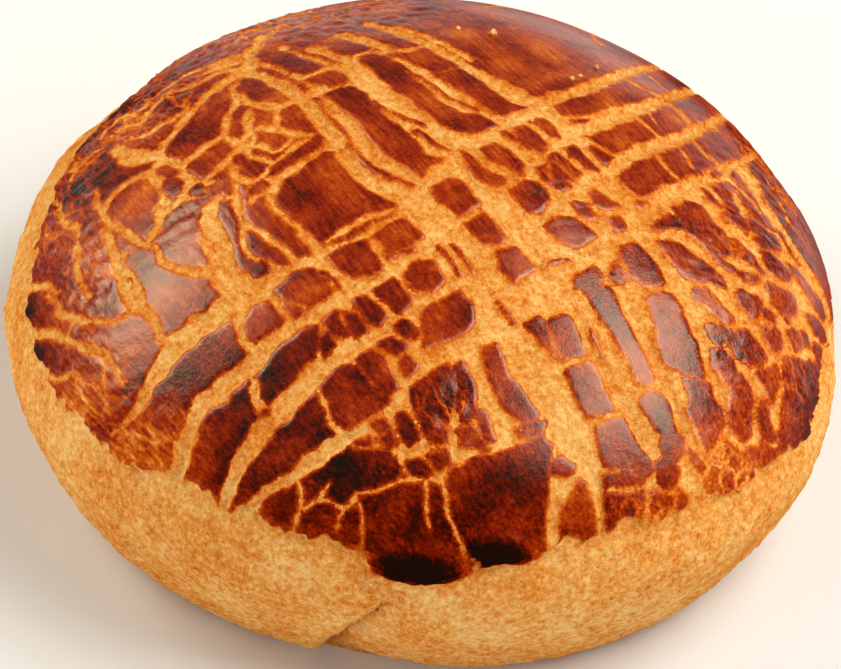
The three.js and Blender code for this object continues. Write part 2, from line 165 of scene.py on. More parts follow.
# Outlines of the flakes that stayed on there, as skin points
FLAKES: tuple[Points, ...] = (
    # right
    ((28.2, -5.2), (29.2, -4.4), (30.2, -3.5), (31.2, -3.1), (32.2, -3.4), (33, -4.4), (33.6, -5.2),
     (34.6, -6), (34.2, -6.5), (35, -7.2), (35.8, -8.2), (35.9, -9), (34.6, -9.3), (33.6, -10.2),
     (32.6, -9.8), (31.8, -8.8), (30.8, -8.3), (29.8, -8.1), (29.6, -7), (29, -6.2)),
    ((25.8, -8.6), (27, -7.4), (27.6, -6.6), (28.4, -6.8), (29.3, -7.5), (28.6, -8), (27.2, -8.2),
     (26.2, -8.9)),
    ((33, 0.2), (33.6, 0.1), (34, -0.6), (34.4, -1.5), (34.8, -2), (34.2, -2.2), (33.5, -1.5), (33.1, -0.8)),
    ((34.4, 1.6), (35.2, 2.4), (36, 3), (36.6, 2.2), (36.6, 1), (36.9, 0.2), (37.2, -0.6), (37.3, -1.4),
     (38.2, -2.3), (37.6, -2.6), (36.6, -2.2), (35.8, -1.8), (35.6, -0.6), (35.1, 0.4), (34.6, 1)),
    ((35.3, -2.9), (36.2, -2.6), (37, -2.9), (37.8, -3), (38.4, -3.6), (37.8, -4.1), (36.8, -3.9),
     (35.8, -3.6)),
    ((34.7, 4), (35, 5.2), (35.8, 5.7), (36, 5.2), (35.4, 4.2)),
    ((36.4, 2.8), (36.9, 4), (37.3, 5), (38, 4.4), (37.9, 3.2), (37.4, 2.2), (36.9, 2)),
    ((38.2, 7.3), (39, 7.7), (39.8, 7), (40, 5.6), (40, 4.2), (40.6, 3), (41.2, 2.2), (41.8, 1.2),
     (42.2, 0.2), (42.6, -0.8), (41.8, -1), (41, -0.6), (40.2, -0.9), (39.2, -0.2), (38.5, 0.6), (38.2, 1.6),
     (38.3, 3), (38.4, 4.6), (38.1, 6)),
    ((38.7, -1.4), (39.6, -1.5), (40.6, -2), (41.6, -2.2), (42.6, -2), (43, -3), (42.8, -3.9), (42, -4.6),
     (41, -5.2), (40, -5.6), (39.2, -5), (39.8, -4.1), (39, -3.4), (38.6, -2.4)),
    ((39.8, -6.8), (40.8, -6.2), (42, -6.3), (43.2, -6.6), (43.8, -7.6), (43.5, -8.6), (42.6, -9.1),
     (41.4, -9), (40.4, -8.6), (39.9, -7.8)),
    ((36, -6.6), (36.8, -6.7), (37.3, -7.4), (38.2, -7.9), (38.6, -8.8), (39.6, -9.6), (39.4, -10.2),
     (38.4, -9.6), (37.4, -9.2), (36.6, -9.2), (36.6, -8.2), (36.2, -7.4)),
    ((40, -11), (41, -10.6), (42, -10.9), (43, -10.5), (44, -10.4), (44.6, -11.4), (44.2, -12.4),
     (44, -13.2), (43, -13.6), (42, -13.8), (41.6, -14), (40.6, -13.6), (40.4, -12.6), (40, -12)),
    ((33, -10.6), (34, -10.8), (35, -11.2), (36.5, -11.4), (38, -11), (39, -10.6), (38.6, -11.4),
     (37.4, -11.9), (36, -11.8), (34.6, -11.5), (33.4, -11.3)),
    ((43.4, 0), (44.4, -0.6), (45, -1.4), (45.6, -2.2), (46.3, -3.2), (46.6, -4), (45.8, -3.7), (44.9, -2.7),
     (44.3, -1.7), (43.6, -0.8)),
    ((44.2, -5.6), (45.4, -5.2), (46.6, -6), (48, -6.4), (50, -6.6), (51, -8), (50, -9.4), (48, -9.2),
     (46.6, -8.6), (45.4, -7.6), (44.4, -6.8)),
    ((46.5, -11.4), (48.5, -10.6), (50.5, -11), (51, -12.6), (49, -13.2), (47.4, -12.6)),
    ((26.2, -11), (27, -10.5), (28.4, -10.6), (30, -11.2), (31.4, -12), (32.6, -12.9), (33.6, -13.6),
     (34, -14.2), (32.4, -14.3), (31.2, -14.7), (30, -14.9), (28.9, -14.6), (28, -13.6), (27.2, -12.6)),
    ((29.8, -16.8), (30.4, -15.8), (31.6, -15.6), (32.4, -16.4), (33.2, -17), (34.4, -17.6), (35, -18.4),
     (34.2, -18.9), (33, -18.5), (32.2, -18), (31.2, -17.6), (30.2, -17.4)),
    ((31.4, -20.4), (32, -20), (33, -20), (33.4, -20.8), (33.4, -21.6), (33.2, -22.3), (32.4, -22),
     (31.9, -21.2)),
    ((33.8, -19.8), (34.6, -19.6), (35.2, -20.2), (35, -21), (34.6, -21.4), (34.1, -20.8)),
    ((35.4, -20.2), (36, -19.4), (36.8, -19), (37.6, -19.5), (38.4, -19.8), (39.4, -20.3), (39.8, -21.2),
     (39.2, -22), (38.8, -22.8), (37.8, -22.9), (36.8, -22.6), (36, -22.6), (35.4, -21.8), (35.3, -21)),
    ((35.6, -14.6), (36.4, -13.9), (37, -14.2), (38.2, -14), (38.8, -14.4), (38.4, -15.4), (38.2, -16.2),
     (37.4, -16.8), (36.8, -16), (36, -15.6)),
    ((39, -15.6), (39.6, -14.9), (40.6, -15), (41, -15.8), (40.2, -16.1), (39.2, -16.1)),
    ((42.4, -14.2), (43, -14), (43.2, -14.6), (42.6, -14.8)),
    ((39.2, -17.4), (40.2, -17.2), (41, -16.6), (41.8, -16.8), (42, -18), (41.8, -19.2), (41.2, -19.8),
     (40.6, -19.4), (39.8, -18.4)),
    ((43, -15.8), (43.6, -15.2), (44.4, -15.2), (45, -16), (45, -17), (44.4, -17.6), (43.8, -18.2),
     (43.4, -17.6), (43, -16.8)),
    ((45.6, -14.8), (46.4, -14.6), (46.8, -15.6), (46, -16.2), (45.6, -15.6)),
    ((48, -14.6), (49, -14.4), (50, -15), (50.2, -16.6), (49.4, -17.4), (48.6, -16.6), (47.9, -15.6)),
    ((39, -23), (39.8, -22.4), (40.4, -21.6), (41.2, -21.2), (41.6, -21.8), (41.4, -23), (41.3, -24.4),
     (41.2, -25.8), (40.6, -26.2), (40.2, -25.4), (39.9, -24.4), (39, -24.2), (38.3, -23.6)),
    ((32.2, -23.2), (33.4, -22.4), (34.8, -23), (35.5, -24.2), (35, -26.2), (34.2, -26.4), (33.2, -25),
     (32.6, -24.4)),
    ((35.6, -24.9), (36.4, -24.6), (37.2, -25), (37.8, -26), (38, -27.2), (38, -28.6), (37.9, -30),
     (38.2, -31), (37.4, -31.8), (36.8, -32.2), (36, -31.6), (35.3, -30.8), (34.9, -29.8), (35, -28.4),
     (35.2, -27), (35.3, -26)),
    ((39.2, -26.2), (39.8, -26), (40.2, -27), (40.6, -28), (41, -28.9), (42, -29.3), (42.2, -30),
     (41.4, -30.4), (40.4, -30.3), (39.9, -29.4), (39.3, -28.4), (39.1, -27.2)),
    ((28.6, -27.7), (30.4, -27.5), (32.3, -27), (32.6, -28.4), (33.8, -29.4), (34.2, -31), (33.6, -32.4),
     (33.4, -34.2), (32.4, -35), (31.4, -33.6), (30.6, -32.2), (29.9, -31), (30.2, -29.8), (29.4, -28.6)),
    ((33.6, -35.4), (34.8, -35), (35.8, -36.2), (36, -37.4), (35, -38.2), (33.8, -38), (33.4, -36.6)),
    ((34.6, -32.4), (35.6, -32.8), (36.8, -33), (37.1, -34), (36.8, -35.2), (36.1, -35.8), (35.2, -34.4)),
    ((37.6, -32.6), (38.6, -32.8), (38.8, -34.4), (38, -36.8), (36.9, -37.4), (37.3, -35.4), (37.8, -34)),
    ((40, -30.9), (41.4, -30.9), (41.8, -32), (41, -33.8), (40.2, -33)),
    ((30.2, -34.8), (30.8, -35.2), (31.6, -35.8), (32.4, -36.6), (32.2, -37.4), (31.2, -37), (30.4, -36.2)),
    # upper left wedge
    ((-21.5, 16.6), (-20.7, 16.8), (-19.1, 15.4), (-16.9, 12.1), (-14.7, 8.8), (-13.8, 6.8), (-13, 4.6),
     (-11.8, 2.3), (-11, 1.1), (-11, 0.2), (-12.4, -1), (-13.8, -2.2), (-15.2, -2.9), (-16.9, -4.1),
     (-19, -4.7), (-20.3, -4.3), (-21.3, -3.2), (-22.6, -3), (-23.9, -2.1), (-25.3, -1.2), (-26.3, 0.1),
     (-26.9, 2.2), (-28.4, 3.8), (-29.2, 4.7), (-29.1, 5.9), (-28.2, 7.9), (-25.8, 11.6), (-24, 14.6),
     (-22.9, 14.3), (-22.4, 15.9)),
    ((-30.3, 2), (-29.4, 2.4), (-28, 1.2), (-27.7, 0.5), (-28.6, 0.2), (-29.9, 1.1)),
    ((-29, -0.4), (-28.3, -0.2), (-27.2, -1.8), (-27.4, -3.1), (-28.2, -3.5), (-28.9, -2)),
    ((-25.9, -3.4), (-25, -2.8), (-24.4, -3.6), (-25.1, -4.7), (-25.8, -4.2)),
    ((-23.6, -3.8), (-22.9, -3.7), (-23, -5.4), (-23.5, -5.3)),
    ((-22.5, -3.5), (-21.7, -3.2), (-21, -5), (-21.4, -5.9), (-22.3, -6.6)),
    ((-24.7, -5), (-24, -5), (-23.8, -5.7), (-24.5, -5.8)),
    ((-22.3, -7.3), (-21.4, -7.1), (-21.1, -9.6), (-20.5, -12), (-20, -14.4), (-19.5, -16.4), (-20.1, -17.2),
     (-20.8, -14.8), (-21.2, -12.2), (-22.3, -10), (-22.4, -8.6)),
    ((-19.3, -6.3), (-18.4, -5.2), (-17.3, -5), (-17, -5.8), (-18.6, -6.7)),
    ((-18.2, -7.6), (-17.4, -7.2), (-16.6, -9.4), (-15.9, -11), (-14.8, -12.9), (-13.4, -14.8),
     (-12.8, -16.4), (-13.9, -16.7), (-15.4, -14.9), (-17, -13.2), (-18.8, -11.5), (-19.7, -9.8),
     (-19.2, -8.6)),
    ((-19.9, -12.2), (-19.2, -12.1), (-17.2, -14.2), (-15.4, -16), (-14.9, -17.3), (-16.2, -17),
     (-18, -15.7), (-19.7, -14.1)),
    ((-19.7, -17), (-18.8, -16.2), (-17.9, -16.8), (-17.7, -18), (-18.8, -18.3)),
    # triangle and the strip under it
    ((-11, -1.4), (-10.1, -1.5), (-9.3, -3.6), (-8, -6.1), (-6, -8.5), (-4.6, -9.7), (-3.3, -10.3),
     (-4.6, -11.4), (-8.4, -12.8), (-10.5, -14.2), (-11.1, -15.6), (-12.4, -13.9), (-14, -12.1),
     (-15.6, -10.2), (-16.6, -8.9), (-15.7, -7), (-14.8, -5.1), (-13, -3.9)),
    ((-10.6, -15.3), (-8.6, -14), (-5, -12), (-3.5, -11.3), (-3.9, -12.1), (-7.4, -13.9), (-9, -14.9)),
    # middle
    ((-10.7, 8.9), (-9, 9.7), (-7.8, 9.6), (-6.1, 7.2), (-5, 5.2), (-3.2, 2.7), (-1, -0.6), (0.2, -2.6),
     (2.2, -3.3), (1, -4.5), (0, -6.1), (-1.6, -4.6), (-3.6, -2.4), (-5.6, 0.7), (-7.2, 3.9), (-8.4, 5.9)),
    ((-13, 12.5), (-11, 13.4), (-9.9, 13.8), (-8.8, 12.7), (-8.1, 11.1), (-10.2, 10.8), (-12, 11.6)),
    ((-6.9, 16.1), (-5.6, 16.9), (-4.3, 16.2), (-2.4, 13.2), (-1.2, 10.9), (0.4, 8.9), (2.2, 6.7),
     (4.2, 4.9), (6.6, 4.8), (8.4, 3.3), (6.4, 1.5), (5.4, 1.1), (3.2, 2.2), (1.2, 4), (-1, 6.6),
     (-2.8, 9.4), (-4.6, 12), (-6.6, 15)),
    ((-3.4, 16.6), (-1.4, 17.4), (0.5, 17.9), (1.3, 16.7), (3.8, 14.5), (2.2, 13.4), (1.2, 13.2),
     (-0.8, 14.8)),
    ((1.2, 12.7), (2.6, 12.9), (3.6, 13.9), (4.6, 13.8), (6.6, 11.6), (8.6, 9.4), (10.6, 7.7), (12.1, 7.3),
     (10.6, 6.4), (9.4, 5.6), (8.2, 6), (5.7, 8.2), (3.2, 10.8)),
    ((12.6, 4.4), (14, 5.3), (15.3, 4.1), (15.8, 2.8), (15, 2.3), (13.4, 3.6)),
    ((10.8, 2.6), (12, 3.3), (13.4, 1.5), (14.3, 0.4), (13.3, -0.9), (12.2, -0.4), (11.1, 1.3)),
    ((6.7, -1.5), (8, -0.5), (9.2, -1.4), (10.9, -3.7), (10.8, -5.2), (9.2, -4.2), (7.5, -2.9)),
    ((4.2, -2.2), (5.1, -2.7), (6.4, -4.8), (9, -6.1), (8, -7.3), (6.2, -6), (4.7, -3.8)),
    ((1, -7.8), (3.3, -6.1), (4.4, -7), (5.9, -9.8), (5.1, -10.8), (3.9, -11.3), (2, -9.8)),
    ((9.3, -7.6), (11.1, -6.1), (12.4, -6.3), (13.4, -8.4), (12.4, -9.7), (11.3, -10.2), (10.2, -9)),
    ((4.7, -12.8), (6.5, -11.3), (7.6, -12.5), (8.7, -14.3), (8, -15.3), (6.6, -14.9), (5.5, -14)),
    ((12.8, -12), (14, -10.8), (15.6, -10.4), (17.2, -11.1), (18.4, -12.2), (16.8, -13.7), (14.8, -13.8)),
    ((7.9, -16.6), (10, -15.5), (11.7, -17.8), (10, -19.4), (8.8, -18.4)),
    ((14.2, -1.5), (15.1, -0.8), (16.6, -2.3), (17.5, -3.4), (16.5, -5), (15.2, -4.6), (14.3, -3)),
    ((12.7, -3.7), (13.5, -3.3), (14.8, -5.1), (16.1, -6), (15, -6.5), (13.4, -5.4)),
    ((16.3, 0.5), (17.2, 1.1), (18.4, -0.6), (19.7, -2.2), (18.5, -2.5), (17.2, -0.9)),
    ((19.7, 1.5), (21.9, 0.9), (20.8, -0.7), (20.2, 0)),
    ((18.2, -6.8), (18.9, -5.5), (20.2, -6.1), (21.7, -7), (20.2, -7.9), (18.6, -7.8)),
    ((16.4, -8.2), (17.6, -8.4), (18.8, -9.6), (18, -10.2), (16.9, -9.6)),
    ((20, -9.4), (21.4, -9), (22, -10), (20.8, -10.6)),
    ((24, -5.7), (25.4, -5.3), (24.8, -6.3), (24, -6.2)),
    # front right
    ((17.2, -19.6), (18.4, -18.9), (20.2, -18.8), (20.8, -21), (22.6, -24.5), (25.2, -28.3), (25.2, -29.2),
     (23.6, -29.2), (21.9, -26.4), (19.6, -22.8)),
    ((24.2, -18.8), (25.4, -18.1), (27.4, -18), (28.3, -19.3), (29.9, -22.6), (31.7, -26), (31, -26.8),
     (28.4, -26.7), (26.4, -26), (25.9, -24), (25.3, -21.6)),
    ((21.7, -12.6), (23.3, -12.1), (24.6, -13.4), (26.3, -16.1), (25.6, -17.1), (24, -17.3), (22.4, -16),
     (21.5, -14)),
    ((20.8, -15.4), (21.7, -16.6), (21.2, -17.6), (20.3, -16.9)),
    ((16.3, -18.7), (18.2, -16.3), (19.3, -17.7), (17.6, -19), (16.4, -19.5)),
    ((13.9, -24.1), (15.3, -23.1), (16.8, -25.8), (17.7, -27.5), (15.6, -28.7), (14.4, -26.3)),
    ((11.1, -24.7), (12.5, -23.9), (13.8, -26.4), (14.6, -28.3), (12.6, -26.5)),
    ((15.5, -29.4), (17, -28.5), (18.3, -28.5), (19.8, -31.4), (20.7, -33.1), (19.6, -34.2), (18.3, -34.2),
     (16.6, -31.8)),
    ((19.1, -35.7), (20.4, -34.5), (22.1, -34.1), (24.4, -36.8), (25.5, -37.7), (24, -38.9), (20.8, -39.3),
     (19.8, -37.6)),
    ((23.9, -31.2), (25.2, -30.1), (26.3, -30.4), (28.5, -33.8), (27, -34.5), (25.9, -33.9)),
    ((26.7, -35.5), (28, -34.4), (29.4, -34), (29.7, -35.4), (28.8, -36.7), (27.3, -36.5)),
    ((6.7, -28.4), (7.9, -27.7), (9.4, -31), (11.8, -34), (12.7, -35.3), (11.4, -36.3), (9.2, -35),
     (7.6, -32)),
    ((10.7, -37.3), (12, -36.3), (13.5, -36.1), (13, -37.4), (11.2, -38.1)),
    ((14.4, -40.5), (15.6, -39.6), (17.1, -40.3), (16.2, -41.4), (14.9, -41.3)),
    ((20.8, -40.6), (22.4, -39.8), (24, -39.3), (25.6, -38.2), (26.2, -38.6), (25.4, -39.8), (25.2, -40.8),
     (25.8, -42.4), (26, -44), (25.6, -45.4), (24.6, -46.6), (22.8, -46.8), (21.9, -45.4), (21.3, -43)),
    ((26.8, -37.5), (27.8, -37), (29.1, -37.3), (29.4, -38.8), (29.1, -39.8), (28, -40), (27, -39.4)),
    ((26.7, -41.1), (28, -40.7), (29.2, -40.7), (29.3, -42.2), (28.6, -43.8), (27.5, -44.2), (26.9, -43)),
    ((30, -39.8), (31, -40.2), (31.3, -41.4), (30.6, -42.4), (30, -41.4)),
    # rows of the front left, from the triangle down
    ((-16.5, -20.7), (-14.4, -19.1), (-12.3, -18.7), (-10.3, -22), (-11.3, -23), (-13, -23.6), (-15, -22.4)),
    ((-20.5, -24.7), (-19.4, -22.5), (-17.8, -22.2), (-15.8, -24.9), (-17.6, -26), (-19.3, -26.7)),
    ((-15.8, -22.9), (-14.8, -23), (-13.5, -24), (-14.4, -24.7)),
    ((-10.5, -17.2), (-8.2, -15.9), (-6.3, -15.2), (-4.3, -18.5), (-5.8, -19.9), (-7.7, -20.5),
     (-9.4, -18.8)),
    ((-5.7, -14.9), (-3.4, -13.1), (-2, -12.6), (-0.1, -14.9), (-1.9, -16.5), (-3.9, -17.5)),
    ((-19, -31), (-16.6, -28.6), (-13.4, -26.4), (-12.2, -26.5), (-11.8, -28.8), (-13.3, -30.5),
     (-15.6, -32.4), (-18, -34.3)),
    ((-11.6, -28), (-10.7, -27.3), (-10.1, -28.6), (-11.1, -29.8)),
    ((-11.1, -25.9), (-9.7, -24.6), (-8.4, -27.7), (-9.3, -27.9)),
    ((-8.7, -24.7), (-7.6, -25.2), (-6.3, -27), (-7.5, -27.9), (-8.3, -26.6)),
    ((-7.6, -23.4), (-6.3, -23.1), (-4.1, -25.3), (-5.1, -26.5), (-6.6, -25.3)),
    ((-5.2, -22), (-3.4, -20.6), (-1.3, -23.2), (-2.6, -24.7), (-4.2, -23.3)),
    ((-2, -20.3), (-0.2, -18), (1, -18.3), (2.3, -20.5), (1.1, -22), (-0.4, -22.1)),
    ((-11.9, -34), (-9.6, -31.7), (-8.1, -31.4), (-3.9, -35), (-5.2, -36.6), (-8.2, -38.2), (-9.7, -37.6),
     (-10.9, -35.4)),
    ((-7.5, -30.6), (-5.7, -29.5), (-4.5, -30.3), (-3, -33.9), (-3.8, -34.6), (-5.6, -32.7)),
    ((-4.7, -28.9), (-3.5, -28.2), (-2, -29.2), (-3.1, -30.5)),
    ((-2.7, -30.9), (-1.5, -30.1), (-0.5, -31), (-1.7, -32.2)),
    ((-3.2, -26.7), (-1.7, -25.8), (-0.4, -26.9), (-0.7, -28.1), (-1.9, -27.7)),
    ((0.1, -24.7), (1.3, -23.5), (3.9, -21.8), (5.3, -23.4), (5.7, -25.1), (4, -26.9), (2.2, -28),
     (0.4, -28.9)),
    ((-1.1, -34), (0.6, -32.4), (2.8, -31), (3.4, -33.6), (3.4, -35.6), (2.4, -38), (3, -39.5), (1.2, -39.8),
     (0, -37.6), (-0.9, -35.6)),
    ((3.5, -31.2), (4.5, -30.3), (5.6, -33), (5.9, -36.4), (4.8, -37.3), (3.9, -34)),
    ((6, -35.8), (7, -36.2), (8.1, -38.6), (7.2, -38.9)),
    ((4, -38.4), (5.4, -37.8), (7.4, -39.7), (4.6, -39.9)),
    ((-2.7, -37.1), (-1.7, -36.8), (-0.2, -39.6), (-1.2, -40.1), (-2.5, -38.8)),
    ((0.7, -41.3), (3, -40.3), (3.2, -41.5), (2, -42.5)),
    ((-1.6, -42.2), (-0.4, -41.7), (1.1, -43), (0.2, -43.8), (-1.1, -43.4)),
    ((-7.7, -40), (-6, -39.3), (-5.5, -39.5), (-6.4, -40.3)),
    ((-5.2, -39.6), (-3.8, -38.9), (-2.9, -39.8), (-4.2, -40.3)),
    ((-5.7, -38), (-4.5, -37.5), (-3.9, -38.3), (-5, -38.9)),
)

# Wide tears on the left, as (u, v, width)
TEARS: tuple[Points, ...] = (
    ((-29.4, 0.3, 0.9), (-30.6, 1.4, 0.9), (-32.2, 1.9, 1), (-34, 1.8, 0.9), (-35.4, 1.1, 0.9),
     (-36.6, 0, 0.8), (-37.3, -1.6, 0.8)),
    ((-38.4, 3, 0.5), (-37.8, 0.5, 0.8), (-37.1, -2, 0.9), (-35.8, -4, 0.8), (-34.6, -5.8, 0.8),
     (-33.5, -7.5, 0.7), (-32.4, -8.6, 0.9), (-31.4, -9.6, 1)),
    ((-37, -4.4, 0.5), (-36.4, -6, 0.9), (-35.7, -8.5, 1), (-35.4, -11, 1), (-35, -13, 1.2),
     (-34.2, -15.2, 2), (-33.2, -17.2, 2), (-31.9, -19.2, 1.4), (-30.9, -21.2, 1), (-30.3, -23.2, 0.8)),
    ((-34, -9, 0.4), (-35, -11, 0.7), (-34, -12.6, 0.8), (-33, -14.2, 0.8), (-32.6, -16.5, 0.9)),
    ((-30.6, 0.8, 0.7), (-29.6, -1, 0.9), (-29.3, -3, 0.9), (-29.4, -5, 1.4), (-29.9, -7, 1.2),
     (-31, -9, 1)),
    ((-31.4, -9.6, 0.9), (-30.4, -10.2, 0.8), (-30.2, -11.6, 0.8), (-29.4, -13.2, 0.8), (-28.2, -14.5, 0.9),
     (-26.6, -15.5, 1), (-25, -16.2, 1), (-23.6, -17, 1)),
    ((-49.4, -5.4, 1), (-47.6, -6.5, 1.1), (-46, -7.6, 1), (-44.7, -8.6, 0.6), (-43.8, -10.2, 0.5)),
    ((-44, -12.8, 0.4), (-43, -14, 0.8), (-41.8, -15, 0.8), (-40.6, -16.2, 0.7), (-39, -17.3, 0.8),
     (-37.4, -17.9, 0.6), (-36.2, -18.5, 0.5), (-34.2, -18.3, 0.5)),
    ((-49.8, -12.4, 1), (-47.6, -13.8, 1), (-45.4, -15.1, 0.8), (-44, -16.5, 0.8), (-42.6, -17.7, 0.9),
     (-41.4, -19, 0.8), (-40, -20.5, 0.9), (-38.5, -21.7, 0.8), (-37.3, -22.9, 0.7), (-36.5, -25, 0.5),
     (-35.9, -26.8, 0.3)),
    ((-40.8, -4, 0.5), (-40.6, -6, 0.6), (-41, -8, 0.5), (-40.6, -10, 0.6), (-39.8, -12, 0.6),
     (-39.2, -13.4, 0.5)),
    ((-44.6, 7, 0.6), (-43.8, 5, 0.7), (-43.3, 3, 0.7), (-42.8, 1, 0.7), (-41.8, -0.4, 0.7),
     (-40.8, -1.6, 0.6), (-40.6, -3, 0.5)),
    ((-24.6, -4.6, 0.8), (-26, -4.4, 1), (-27.6, -4.6, 1), (-29, -5.4, 1)),
    ((-23.2, -5, 2.4), (-24, -8, 1.8), (-23.9, -11, 2), (-23.3, -13, 2.4), (-22.6, -17, 2.6),
     (-21.6, -20, 2.6)),
    ((-33.6, -30.4, 0.9), (-35, -31, 0.9), (-36.6, -31.6, 0.5), (-38, -31.8, 0.3)),
    ((-46.8, -20.2, 0.5), (-45, -21.6, 0.5), (-43.4, -22.2, 0.4)),
)

